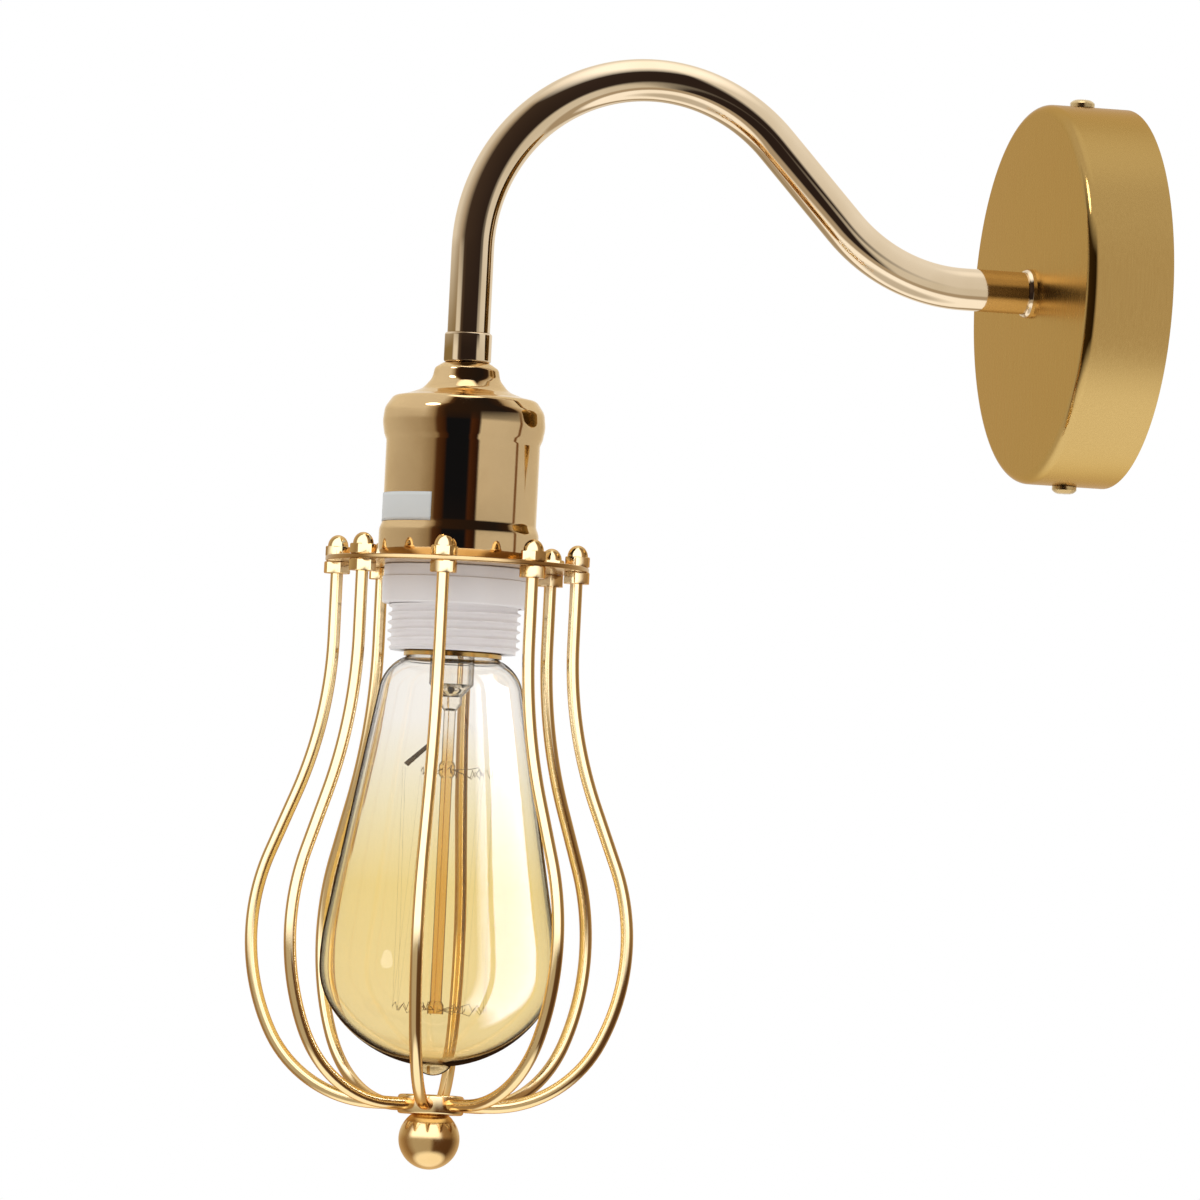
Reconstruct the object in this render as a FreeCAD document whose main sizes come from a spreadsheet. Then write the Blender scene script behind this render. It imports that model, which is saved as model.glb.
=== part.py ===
import FreeCAD, Part
import math
import os
import re

import Sketcher

# Swan-neck wall light with an eight-wire balloon cage.
# Frame: origin at the centre of the canopy's back face, wall plane Y = 0, the room on the -Y side,
# +Z up.  The lamp axis is the vertical line x = 0, y = -arm_reach.

SIZES = [
    ("canopy_radius", "54", "canopy and wall bracket"),
    ("canopy_depth", "25", ""),
    ("canopy_wall", "1", ""),
    ("canopy_edge_round", "3", ""),
    ("side_screw_depth", "12", ""),
    ("side_screw_radius", "2", ""),
    ("side_screw_length", "8", ""),
    ("side_head_radius", "3.5", ""),
    ("side_head_height", "2.1", ""),
    ("strap_width", "22", ""),
    ("strap_thickness", "1.5", ""),
    ("ear_length", "18", ""),
    ("wall_slot_spacing", "60", ""),
    ("wall_slot_length", "12", ""),
    ("wall_slot_width", "4.5", ""),
    ("cable_hole_radius", "6", ""),
    ("earth_screw_height", "16", ""),
    ("earth_screw_radius", "2", ""),
    ("earth_cup_radius", "4", ""),
    ("earth_cup_thickness", "0.8", ""),
    ("earth_head_radius", "3.5", ""),
    ("earth_head_height", "2.2", ""),
    ("arm_reach", "190", "swan-neck arm"),
    ("arm_radius", "6", ""),
    ("arm_wall", "1", ""),
    ("root_run", "20", ""),
    ("root_bend", "50", ""),
    ("crown_bend", "51", ""),
    ("arm_slope", "46", ""),
    ("arm_end_drop", "21.7", ""),
    ("flange_radius", "7", ""),
    ("flange_thickness", "2", ""),
    ("entry_radius", "4.95", "threaded nipples"),
    ("entry_bore", "3.6", ""),
    ("nipple_length", "17", ""),
    ("nipple_tail", "2", ""),
    ("neck_nipple_length", "26", ""),
    ("neck_nipple_seat", "8", ""),
    ("lock_nut_flats", "14", ""),
    ("lock_nut_thickness", "3", ""),
    ("lock_washer_radius", "8.5", ""),
    ("lock_washer_thickness", "0.8", ""),
    ("terminal_pitch", "8", "terminals and leads"),
    ("terminal_height", "13", ""),
    ("terminal_depth", "11", ""),
    ("terminal_drop", "9", ""),
    ("terminal_entry", "2", ""),
    ("terminal_screw_radius", "1.6", ""),
    ("lead_radius", "1.1", ""),
    ("lead_spread", "1.7", ""),
    ("lead_bend", "4", ""),
    ("collar_radius", "6.65", "lampholder"),
    ("collar_height", "8.6", ""),
    ("edge_round", "0.8", ""),
    ("cover_wall", "0.8", ""),
    ("cover_top_radius", "6.6", ""),
    ("cover_top_round", "3", ""),
    ("cover_crown_radius", "9.2", ""),
    ("cover_crown_height", "2.6", ""),
    ("cover_cove_round", "12", ""),
    ("cover_brow_radius", "19.4", ""),
    ("cover_brow_drop", "9.6", ""),
    ("cover_bead_radius", "22.85", ""),
    ("cover_bead_drop", "17.2", ""),
    ("cover_waist_drop", "23.5", ""),
    ("cover_waist_round", "18", ""),
    ("cover_body_radius", "21.7", ""),
    ("cover_lip_radius", "22.5", ""),
    ("cover_lip_height", "8.5", ""),
    ("cover_flare_height", "3", ""),
    ("cover_flare_round", "7", ""),
    ("holder_height", "55.95", ""),
    ("holder_radius", "19.4", ""),
    ("holder_wall", "1.8", ""),
    ("holder_neck_radius", "6", ""),
    ("holder_neck_height", "10.3", ""),
    ("holder_dome_round", "5", ""),
    ("spigot_height", "4", ""),
    ("holder_split_drop", "35.6", ""),
    ("shoulder_radius", "21.2", ""),
    ("shoulder_thickness", "1.7", ""),
    ("thread_radius", "18.7", ""),
    ("thread_length", "25.6", ""),
    ("insert_radius", "15.9", ""),
    ("insert_height", "14", ""),
    ("clamp_screw_drop", "3.5", ""),
    ("clamp_screw_radius", "1.5", ""),
    ("recess_radius", "7.2", ""),
    ("recess_depth", "3", ""),
    ("terminal_radius", "9", ""),
    ("shell_radius", "13.13", ""),
    ("shell_wall", "0.57", ""),
    ("shell_length", "21.8", ""),
    ("shell_clearance", "0.9", ""),
    ("tongue_thickness", "0.6", ""),
    ("tongue_root", "6", ""),
    ("tongue_reach", "3", ""),
    ("ring_top_radius", "19.8", "shade ring"),
    ("ring_top_height", "3.4", ""),
    ("ring_radius", "20.8", ""),
    ("ring_height", "11", ""),
    ("ring_edge_round", "0.7", ""),
    ("plate_radius", "37.1", "cage"),
    ("plate_bore", "20", ""),
    ("plate_thickness", "1.4", ""),
    ("wire_count", "8", ""),
    ("wire_radius", "1.75", ""),
    ("bolt_radius", "33.9", ""),
    ("wire_tip_height", "4.4", ""),
    ("belly_radius", "53.1", ""),
    ("waist_bend", "123", ""),
    ("waist_slope", "21.5", ""),
    ("belly_bend", "62", ""),
    ("belly_turn", "26", ""),
    ("foot_bend", "34.5", ""),
    ("cage_height", "151.3", ""),
    ("cap_nut_flats", "6.8", ""),
    ("cap_nut_hex_height", "2.8", ""),
    ("cap_nut_dome", "2.75", ""),
    ("cap_nut_dome_rise", "0.5", ""),
    ("lock_hex_flats", "7", ""),
    ("lock_hex_height", "3.3", ""),
    ("hub_radius", "9.3", ""),
    ("hub_thickness", "5.5", ""),
    ("hub_socket_depth", "2.8", ""),
    ("stud_well_spare", "1", ""),
    ("ball_radius", "8.6", ""),
    ("ball_flat_height", "6.8", ""),
    ("stud_radius", "2", ""),
    ("stud_length", "10", ""),
    ("bulb_radius", "33.2", "bulb"),
    ("bulb_length", "144.5", ""),
    ("bulb_cap_length", "27", ""),
    ("bulb_cap_radius", "13.05", ""),
    ("bulb_cap_rim", "13.8", ""),
    ("bulb_cap_rim_height", "1.2", ""),
    ("bulb_cap_round", "2.5", ""),
    ("bulb_cap_wall", "0.5", ""),
    ("bulb_contact_radius", "4.7", ""),
    ("bulb_contact_height", "1.5", ""),
    ("bulb_insulator_height", "3.2", ""),
    ("glass_wall", "1", ""),
    ("glass_shoulder_radius", "20.2", ""),
    ("glass_shoulder_drop", "9", ""),
    ("glass_shoulder_round", "11.7", ""),
    ("glass_neck_height", "9", ""),
    ("glass_cone_radius", "32.2", ""),
    ("glass_cone_drop", "75.5", ""),
    ("glass_side_round", "66", ""),
    ("glass_turn", "35", ""),
    ("glass_side_bend", "22", ""),
    ("pip_radius", "5.2", ""),
    ("pip_height", "2.5", ""),
    ("stem_radius", "6.3", ""),
    ("stem_length", "15", ""),
    ("stem_wall", "0.8", ""),
    ("stem_flare_round", "9", ""),
    ("press_width", "3.2", ""),
    ("press_height", "4", ""),
    ("rod_radius", "1.7", ""),
    ("rod_length", "99", ""),
    ("button_radius", "2.3", ""),
    ("button_height", "2.4", ""),
    ("hook_radius", "0.3", ""),
    ("upper_hook_reach", "13", ""),
    ("upper_hook_drop", "31.5", ""),
    ("lower_hook_reach", "15", ""),
    ("filament_radius", "0.3", ""),
    ("lead_wire_radius", "0.45", ""),
    ("hook_count", "7", ""),
    ("screw_fit", "0.1", "clearances"),
    ("seat_gap", "0.05", ""),
    ("face_gap", "0.1", ""),
]

doc = FreeCAD.newDocument("cage_wall_light")
sheet = doc.addObject("Spreadsheet::Sheet", "Sizes")
for row, (word, number, heading) in enumerate(SIZES, start=1):
    sheet.set("A%d" % row, number)
    sheet.setAlias("A%d" % row, word)
    if heading:
        sheet.set("B%d" % row, heading)
doc.recompute()
WORDS = {word: sheet.get(word) for word, number, heading in SIZES}
PIECES = []
VECTOR = FreeCAD.Vector


# ---------------------------------------------------------------- sizes and formulas

def bound(formula):
    """The formula as an expression on the sheet's cells."""
    return re.sub(r"[a-z]+(_[a-z]+)+", lambda found: "Sizes." + found.group(0), formula)


def value(formula):
    """The number that the formula gives with the sheet's present values."""
    plain = re.sub(r"[a-z]+(_[a-z]+)+", lambda found: "(%r)" % WORDS[found.group(0)], formula)
    return FreeCAD.Units.Quantity(plain.replace(" deg", " * pi / 180")).Value


# Levels on the lamp axis, counted from the canopy's centre height.
COLLAR_TOP = "-arm_end_drop"
COVER_TOP = "(-arm_end_drop - collar_height)"
SHOULDER_BOTTOM = "(-arm_end_drop - collar_height - holder_height)"
SHOULDER_TOP = SHOULDER_BOTTOM[:-1] + " + shoulder_thickness)"
COVER_BOTTOM = SHOULDER_BOTTOM[:-1] + " + face_gap)"
PLATE_TOP = SHOULDER_BOTTOM[:-1] + " - face_gap)"
PLATE_BOTTOM = PLATE_TOP[:-1] + " - plate_thickness)"
HUB_LEVEL = PLATE_BOTTOM[:-1] + " - cage_height)"
SPLIT_LEVEL = "(-arm_end_drop - collar_height - holder_split_drop)"
BULB_TOP = SHOULDER_BOTTOM[:-1] + " - face_gap)"
GLASS_TOP = BULB_TOP[:-1] + " - bulb_cap_length)"
GLASS_BOTTOM = BULB_TOP[:-1] + " - bulb_length + pip_height)"
NECK_TOP = GLASS_TOP[:-1] + " + glass_neck_height)"
INSERT_TOP = SHOULDER_BOTTOM[:-1] + " + seat_gap + insert_height)"

# Sloping straight of the arm between its two bends.
ARM_STRAIGHT = ("((arm_reach - canopy_depth - root_run - root_bend * sin(arm_slope * 1 deg)"
                " - crown_bend * (1 + sin(arm_slope * 1 deg))) / cos(arm_slope * 1 deg))")
CROWN_LEVEL = ("(root_bend * (1 - cos(arm_slope * 1 deg)) + " + ARM_STRAIGHT
               + " * sin(arm_slope * 1 deg) - crown_bend * cos(arm_slope * 1 deg))")

# Depth of the leads' entries in the terminal block.
POLE_DEPTH = "-(strap_thickness + seat_gap + terminal_depth * 0.45)"

# Straights of a cage wire between its bends, and the direction of the first wire.
FIRST_WIRE = "180 / wire_count - 90"
WIRE_WAIST_RUN = ("((belly_radius - bolt_radius - (waist_bend + belly_bend) * (1 - cos(waist_slope * 1 deg)))"
                  " / sin(waist_slope * 1 deg))")
WIRE_FOOT_RUN = ("(belly_radius - hub_radius + hub_socket_depth - seat_gap"
                 " - belly_bend * (1 - cos(belly_turn * 1 deg)) - foot_bend * cos(belly_turn * 1 deg))")
WIRE_TOP_RUN = ("(wire_tip_height + plate_thickness + cage_height - waist_bend * sin(waist_slope * 1 deg) - "
                + WIRE_WAIST_RUN + " * cos(waist_slope * 1 deg)"
                " - belly_bend * (sin(waist_slope * 1 deg) + sin(belly_turn * 1 deg))"
                " - foot_bend * (1 - sin(belly_turn * 1 deg)))")


# ---------------------------------------------------------------- document helpers

def new_body(name):
    """A body that becomes the node of that name."""
    body = doc.addObject("PartDesign::Body", name)
    body.Label = name
    body.AllowCompound = True
    PIECES.append(body)
    return body


def keep_shape(name, shape):
    """A Part feature for a free-form piece."""
    feature = doc.addObject("Part::Feature", name)
    feature.Label = name
    feature.Shape = shape
    PIECES.append(feature)
    return feature


def put_on_lamp_axis(piece, turn=None):
    """Stand the piece on the lamp axis, turned about it where a turn is given."""
    piece.Placement = FreeCAD.Placement(VECTOR(0, -value("arm_reach"), 0), FreeCAD.Rotation())
    if turn is not None:
        piece.Placement.Rotation = FreeCAD.Rotation(VECTOR(0, 0, 1), value(turn))
        piece.setExpression("Placement.Rotation.Angle", bound(turn))
    piece.setExpression("Placement.Base.y", bound("-arm_reach"))


def origin_plane(body, role):
    """One of the body's own origin planes."""
    for feature in body.Origin.OriginFeatures:
        if feature.Role == role:
            return feature


def new_sketch(body, name, role, height=None):
    """A sketch on an origin plane, lifted off it where a height is given."""
    sketch = body.newObject("Sketcher::SketchObject", body.Label + "_" + name)
    sketch.AttachmentSupport = [(origin_plane(body, role), "")]
    sketch.MapMode = "FlatFace"
    if height is not None:
        sketch.AttachmentOffset = FreeCAD.Placement(VECTOR(0, 0, value(height)), FreeCAD.Rotation())
        sketch.setExpression("AttachmentOffset.Base.z", bound(height))
    return sketch


def pin(sketch, kind, geometry, point, formula):
    """Hold one coordinate of a sketch point to its formula."""
    axis = -2 if kind == "DistanceX" else -1
    if formula == "0":
        sketch.addConstraint(Sketcher.Constraint("PointOnObject", geometry, point, axis))
        return
    number = sketch.addConstraint(Sketcher.Constraint(kind, -1, 1, geometry, point, value(formula)))
    sketch.setExpression("Constraints[%d]" % number, bound(formula))


def measure(sketch, kind, geometry, formula, start=None):
    """Hold a length, a radius or an angle of one sketch element to its formula."""
    start = value(formula) if start is None else start
    number = sketch.addConstraint(Sketcher.Constraint(kind, geometry, start))
    sketch.setExpression("Constraints[%d]" % number, bound(formula))


def arc_between(start, end, radius, side):
    """The arc under half a turn from start to end; side 1 keeps its centre to the left."""
    middle = (start + end) * 0.5
    half = (end - start) * 0.5
    rise = math.sqrt(max(radius * radius - half.Length ** 2, 0.0))
    normal = VECTOR(-half.y, half.x, 0).normalize()
    centre = middle + normal * rise * side
    first = math.atan2(start.y - centre.y, start.x - centre.x)
    last = math.atan2(end.y - centre.y, end.x - centre.x)
    circle = Part.Circle(centre, VECTOR(0, 0, 1), radius)
    if side > 0:
        return Part.ArcOfCircle(circle, first, last), 1, 2
    return Part.ArcOfCircle(circle, last, first), 2, 1


def draw_outline(sketch, corners):
    """A closed outline: (x, y) ends a straight, (x, y, radius, side) ends an arc."""
    places = [VECTOR(value(corner[0]), value(corner[1]), 0) for corner in corners]
    ends = []
    for index, corner in enumerate(corners):
        start = places[index - 1]
        end = places[index]
        if len(corner) == 2:
            number = sketch.addGeometry(Part.LineSegment(start, end), False)
            ends.append((number, 1, 2))
        else:
            arc, head, tail = arc_between(start, end, value(corner[2]), corner[3])
            number = sketch.addGeometry(arc, False)
            ends.append((number, head, tail))
    for index, corner in enumerate(corners):
        number, head, tail = ends[index]
        following = ends[(index + 1) % len(ends)]
        sketch.addConstraint(Sketcher.Constraint("Coincident", number, tail, following[0], following[1]))
        pin(sketch, "DistanceX", number, tail, corner[0])
        pin(sketch, "DistanceY", number, tail, corner[1])
        if len(corner) == 4:
            measure(sketch, "Radius", number, corner[2])


def draw_circle(sketch, x, y, radius):
    """A circle with its centre and radius held."""
    circle = Part.Circle(VECTOR(value(x), value(y), 0), VECTOR(0, 0, 1), value(radius))
    number = sketch.addGeometry(circle, False)
    pin(sketch, "DistanceX", number, 3, x)
    pin(sketch, "DistanceY", number, 3, y)
    measure(sketch, "Radius", number, radius)


def draw_path(sketch, x, y, heading, steps):
    """An open path of tangent runs and bends.

    heading is the start direction in degrees; a step is ("run", length) or
    ("bend", radius, degrees, side), and side 1 bends to the left.
    """
    place = VECTOR(value(x), value(y), 0)
    angle = math.radians(heading)
    before = None
    for step in steps:
        forward = VECTOR(math.cos(angle), math.sin(angle), 0)
        if step[0] == "run":
            after = place + forward * value(step[1])
            number = sketch.addGeometry(Part.LineSegment(place, after), False)
            head, tail = 1, 2
            measure(sketch, "Distance", number, step[1])
        else:
            radius = value(step[1])
            turn = math.radians(value(step[2])) * step[3]
            centre = place + VECTOR(-forward.y, forward.x, 0) * radius * step[3]
            spoke = place - centre
            first = math.atan2(spoke.y, spoke.x)
            after = centre + VECTOR(math.cos(first + turn), math.sin(first + turn), 0) * radius
            circle = Part.Circle(centre, VECTOR(0, 0, 1), radius)
            if step[3] > 0:
                arc = Part.ArcOfCircle(circle, first, first + turn)
                head, tail = 1, 2
            else:
                arc = Part.ArcOfCircle(circle, first + turn, first)
                head, tail = 2, 1
            number = sketch.addGeometry(arc, False)
            measure(sketch, "Radius", number, step[1])
            measure(sketch, "Angle", number, step[2], abs(turn))
            angle += turn
        if before is None:
            pin(sketch, "DistanceX", number, head, x)
            pin(sketch, "DistanceY", number, head, y)
            sketch.addConstraint(Sketcher.Constraint("Vertical" if heading % 180 else "Horizontal", number))
        else:
            sketch.addConstraint(Sketcher.Constraint("Tangent", before[0], before[1], number, head))
        before = (number, tail)
        place = after


def revolve(body, name, corners):
    """A turned piece: the outline is radius and height about the body's Z axis."""
    sketch = new_sketch(body, name, "XZ_Plane")
    draw_outline(sketch, corners)
    feature = body.newObject("PartDesign::Revolution", body.Label + "_" + name + "_turned")
    feature.Profile = sketch
    feature.ReferenceAxis = (sketch, ["V_Axis"])
    feature.Angle = 360


def pad(body, sketch, length, midplane=False, backwards=False):
    """A pad of the sketch."""
    feature = body.newObject("PartDesign::Pad", sketch.Label + "_pad")
    feature.Profile = sketch
    feature.Length = value(length)
    feature.setExpression("Length", bound(length))
    feature.Midplane = midplane
    feature.Reversed = backwards
    return feature


def pocket_through(body, sketch):
    """A cut through all material on both sides of the sketch."""
    feature = body.newObject("PartDesign::Pocket", sketch.Label + "_cut")
    feature.Profile = sketch
    feature.Type = "ThroughAll"
    feature.Midplane = True


def pocket(body, sketch, depth, backwards=False):
    """A blind cut."""
    feature = body.newObject("PartDesign::Pocket", sketch.Label + "_cut")
    feature.Profile = sketch
    feature.Type = "Length"
    feature.Length = value(depth)
    feature.setExpression("Length", bound(depth))
    feature.Reversed = backwards
    return feature


def pattern_round(body, features):
    """Copies of the features round the body's Z axis, one for each cage wire."""
    feature = body.newObject("PartDesign::PolarPattern", body.Label + "_round")
    feature.Originals = features
    for axis in body.Origin.OriginFeatures:
        if axis.Role == "Z_Axis":
            feature.Axis = (axis, [""])
    feature.Angle = 360
    feature.Occurrences = int(value("wire_count"))
    feature.setExpression("Occurrences", bound("wire_count"))
    body.Tip = feature


def hollow_out(body, base, wall):
    """Shell the solid inwards and leave its highest flat face along Y open."""
    doc.recompute()
    flats = []
    for index, face in enumerate(base.Shape.Faces, start=1):
        if abs(face.normalAt(0, 0).y) > 0.99 and face.Surface.TypeId == "Part::GeomPlane":
            flats.append((face.CenterOfMass.y, "Face%d" % index))
    feature = body.newObject("PartDesign::Thickness", body.Label + "_shell")
    feature.Base = (base, [max(flats)[1]])
    feature.Value = value(wall)
    feature.setExpression("Value", bound(wall))
    feature.Reversed = True
    feature.Join = "Intersection"


def draw_hexagon(sketch, x, flats):
    """A regular hexagon centred at height 0 with flats square to X, drawn by its corners."""
    half = "%s / 2" % flats
    quarter = "%s / 2 / sqrt(3)" % flats
    point = "%s / sqrt(3)" % flats
    left = "%s - %s" % (x, half)
    right = "%s + %s" % (x, half)
    draw_outline(sketch, [
        (x, point), (left, quarter), (left, "-" + quarter), (x, "-" + point), (right, "-" + quarter),
        (right, quarter)])


def draw_slot(sketch, y, length, width):
    """An upright slot centred on x = 0 with round ends made of quarter arcs."""
    half = "%s / 2" % width
    top = "%s + (%s - %s) / 2" % (y, length, width)
    low = "%s - (%s - %s) / 2" % (y, length, width)
    draw_outline(sketch, [
        (half, top), ("0", "%s + %s" % (top, half), half, 1), ("-" + half, top, half, 1),
        ("-" + half, low), ("0", "%s - %s" % (low, half), half, 1), (half, low, half, 1)])


def round_to_vertical(across, along):
    """Radius of the arc that crosses that width over that height and ends upright."""
    return "((%s) * (%s) + (%s) * (%s)) / (2 * (%s))" % (across, across, along, along, across)


def rounded_route(points, bends):
    """A wire of straights joined by tangent arcs: one bend radius for each inner point."""
    edges = []
    here = points[0]
    for index, radius in enumerate(bends, start=1):
        corner = points[index]
        back = (points[index - 1] - corner).normalize()
        onward = (points[index + 1] - corner).normalize()
        turn = math.pi - back.getAngle(onward)
        reach = radius * math.tan(turn / 2)
        enter = corner + back * reach
        leave = corner + onward * reach
        centre = corner + (back + onward).normalize() * (radius / math.cos(turn / 2))
        middle = centre + (corner - centre).normalize() * radius
        edges.append(Part.LineSegment(here, enter).toShape())
        edges.append(Part.Arc(enter, middle, leave).toShape())
        here = leave
    edges.append(Part.LineSegment(here, points[-1]).toShape())
    return Part.Wire(edges)


def swept(points, bends, radius):
    """A round wire of that radius along the rounded route."""
    spine = rounded_route(points, bends)
    start = (points[1] - points[0]).normalize()
    circle = Part.Wire([Part.Circle(points[0], start, radius).toShape()])
    return spine.makePipeShell([circle], True, False)


# ---------------------------------------------------------------- canopy and wall bracket

def make_canopy():
    """Spun cup that covers the bracket, with a hole for the arm and one at each side screw."""
    body = new_body("canopy")
    sketch = new_sketch(body, "disc", "XZ_Plane")
    draw_circle(sketch, "0", "0", "canopy_radius")
    drum = pad(body, sketch, "canopy_depth")
    doc.recompute()
    edges = []
    for index, edge in enumerate(drum.Shape.Edges, start=1):
        if edge.BoundBox.YMax < -value("canopy_depth") / 2:
            edges.append("Edge%d" % index)
    fillet = body.newObject("PartDesign::Fillet", "canopy_round")
    fillet.Base = (drum, edges)
    fillet.Radius = value("canopy_edge_round")
    fillet.setExpression("Radius", bound("canopy_edge_round"))
    hollow_out(body, fillet, "canopy_wall")
    entry = new_sketch(body, "entry", "XZ_Plane")
    draw_circle(entry, "0", "0", "entry_radius + screw_fit")
    pocket_through(body, entry)
    sides = new_sketch(body, "side_holes", "XY_Plane")
    draw_circle(sides, "0", "-side_screw_depth", "side_screw_radius + screw_fit")
    pocket_through(body, sides)


def make_wall_bracket():
    """Steel strap across the back with two forward ears that take the side screws."""
    body = new_body("wall_bracket")
    reach = "(canopy_radius - canopy_wall - face_gap)"
    outer = "sqrt(%s * %s - strap_width * strap_width / 4)" % (reach, reach)
    inner = "(%s - strap_thickness)" % outer
    profile = new_sketch(body, "strap", "YZ_Plane")
    draw_outline(profile, [
        ("0", "-" + outer), ("0", outer), ("-ear_length", outer), ("-ear_length", inner),
        ("-strap_thickness", inner), ("-strap_thickness", "-" + inner),
        ("-ear_length", "-" + inner), ("-ear_length", "-" + outer)])
    pad(body, profile, "strap_width", midplane=True)
    holes = new_sketch(body, "wall_holes", "XZ_Plane")
    draw_circle(holes, "0", "0", "cable_hole_radius")
    draw_circle(holes, "0", "earth_screw_height", "earth_screw_radius + seat_gap")
    draw_slot(holes, "wall_slot_spacing / 2", "wall_slot_length", "wall_slot_width")
    draw_slot(holes, "-wall_slot_spacing / 2", "wall_slot_length", "wall_slot_width")
    pocket_through(body, holes)
    taps = new_sketch(body, "ear_holes", "XY_Plane")
    draw_circle(taps, "0", "-side_screw_depth", "side_screw_radius + seat_gap")
    pocket_through(body, taps)


def make_side_screw(name, turn):
    """Pan-head screw through the canopy's side into a bracket ear, with a spring washer."""
    body = new_body(name)
    seat = "(canopy_radius + seat_gap)"
    tip = "(canopy_radius - side_screw_length)"
    crown = "(canopy_radius + seat_gap + side_head_height)"
    revolve(body, "screw", [
        ("0", tip), ("side_screw_radius - face_gap", tip), ("side_screw_radius - face_gap", seat),
        ("side_head_radius", seat), ("side_head_radius", crown + " - side_head_height / 2"),
        ("side_head_radius / 2", crown, "side_head_radius * 0.72", 1), ("0", crown)])
    body.Placement = FreeCAD.Placement(VECTOR(0, 0, 0), FreeCAD.Rotation(VECTOR(1, 0, 0), turn))
    body.setExpression("Placement.Base.y", bound("-side_screw_depth"))


def make_earth_screw():
    """Cheese-head screw in the strap with its cup washer."""
    body = new_body("earth_screw")
    base = "(strap_thickness + seat_gap)"
    cup = base + " + earth_cup_thickness"
    revolve(body, "screw", [
        ("0", "face_gap"), ("earth_screw_radius", "face_gap"), ("earth_screw_radius", base),
        ("earth_cup_radius", base), ("earth_cup_radius", cup), ("earth_head_radius", cup),
        ("earth_head_radius", cup + " + earth_head_height"), ("0", cup + " + earth_head_height")])
    body.Placement = FreeCAD.Placement(VECTOR(0, 0, 0), FreeCAD.Rotation(VECTOR(1, 0, 0), 90))
    body.setExpression("Placement.Base.z", bound("earth_screw_height"))


def make_terminal_block():
    """Three-pole block on the strap with an entry for a lead in each pole."""
    body = new_body("terminal_block")
    sketch = new_sketch(body, "block", "XY_Plane", "-terminal_drop")
    half = "terminal_pitch * 1.5"
    back = "-(strap_thickness + seat_gap)"
    front = "-(strap_thickness + seat_gap + terminal_depth)"
    draw_outline(sketch, [(half, back), ("-" + half, back), ("-" + half, front), (half, front)])
    pad(body, sketch, "terminal_height", backwards=True)
    poles = new_sketch(body, "poles", "XY_Plane", "-terminal_drop")
    for across in ("-terminal_pitch", "0", "terminal_pitch"):
        draw_circle(poles, across, POLE_DEPTH, "lead_radius + screw_fit")
    pocket(body, poles, "terminal_height")
    screws = new_sketch(body, "screw_wells", "XZ_Plane", "strap_thickness + seat_gap + terminal_depth")
    for across in ("-terminal_pitch", "0", "terminal_pitch"):
        draw_circle(screws, across, "-terminal_drop - terminal_height / 2",
                    "terminal_screw_radius + screw_fit")
    pocket(body, screws, "terminal_depth * 0.4")


def make_terminal_screws():
    """One clamp screw in each pole."""
    body = new_body("terminal_screws")
    sketch = new_sketch(body, "shanks", "XZ_Plane",
                        "strap_thickness + seat_gap + terminal_depth * 0.6 + seat_gap")
    for across in ("-terminal_pitch", "0", "terminal_pitch"):
        draw_circle(sketch, across, "-terminal_drop - terminal_height / 2", "terminal_screw_radius")
    pad(body, sketch, "terminal_depth * 0.3")


# ---------------------------------------------------------------- swan-neck arm

def arm_steps():
    """Centreline of the arm from the canopy's front to its lower end."""
    return [
        ("run", "root_run"), ("bend", "root_bend", "arm_slope", -1), ("run", ARM_STRAIGHT),
        ("bend", "crown_bend", "arm_slope + 90", 1), ("run", CROWN_LEVEL + " + arm_end_drop")]


def make_arm_tube():
    """Bent tube: out of the canopy, up and over, and down to the lampholder."""
    body = new_body("arm_tube")
    path = new_sketch(body, "path", "YZ_Plane")
    draw_path(path, "-canopy_depth", "0", 180, arm_steps())
    ring = new_sketch(body, "ring", "XZ_Plane", "canopy_depth")
    draw_circle(ring, "0", "0", "arm_radius")
    draw_circle(ring, "0", "0", "arm_radius - arm_wall")
    pipe = body.newObject("PartDesign::AdditivePipe", "arm_tube_pipe")
    pipe.Profile = ring
    pipe.Spine = (path, [])


def turn_to_wall(body, depth):
    """Point the body's Z axis out of the wall and stand its base at that depth."""
    body.Placement = FreeCAD.Placement(VECTOR(0, 0, 0), FreeCAD.Rotation(VECTOR(1, 0, 0), 90))
    body.setExpression("Placement.Base.y", bound("-(%s)" % depth))


def make_arm_flange():
    """Turned ring round the arm's root, seated on the canopy's face."""
    body = new_body("arm_flange")
    revolve(body, "ring", [
        ("arm_radius + seat_gap", "0"), ("flange_radius", "0"), ("flange_radius", "flange_thickness * 0.5"),
        ("(arm_radius + flange_radius) / 2", "flange_thickness", "flange_thickness", 1),
        ("arm_radius + seat_gap", "flange_thickness")])
    turn_to_wall(body, "canopy_depth")


def make_nipple(name, length):
    """Hollow threaded nipple."""
    body = new_body(name)
    revolve(body, "tube", [
        ("entry_bore", "0"), ("entry_radius", "0"), ("entry_radius", length), ("entry_bore", length)])
    return body


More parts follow.
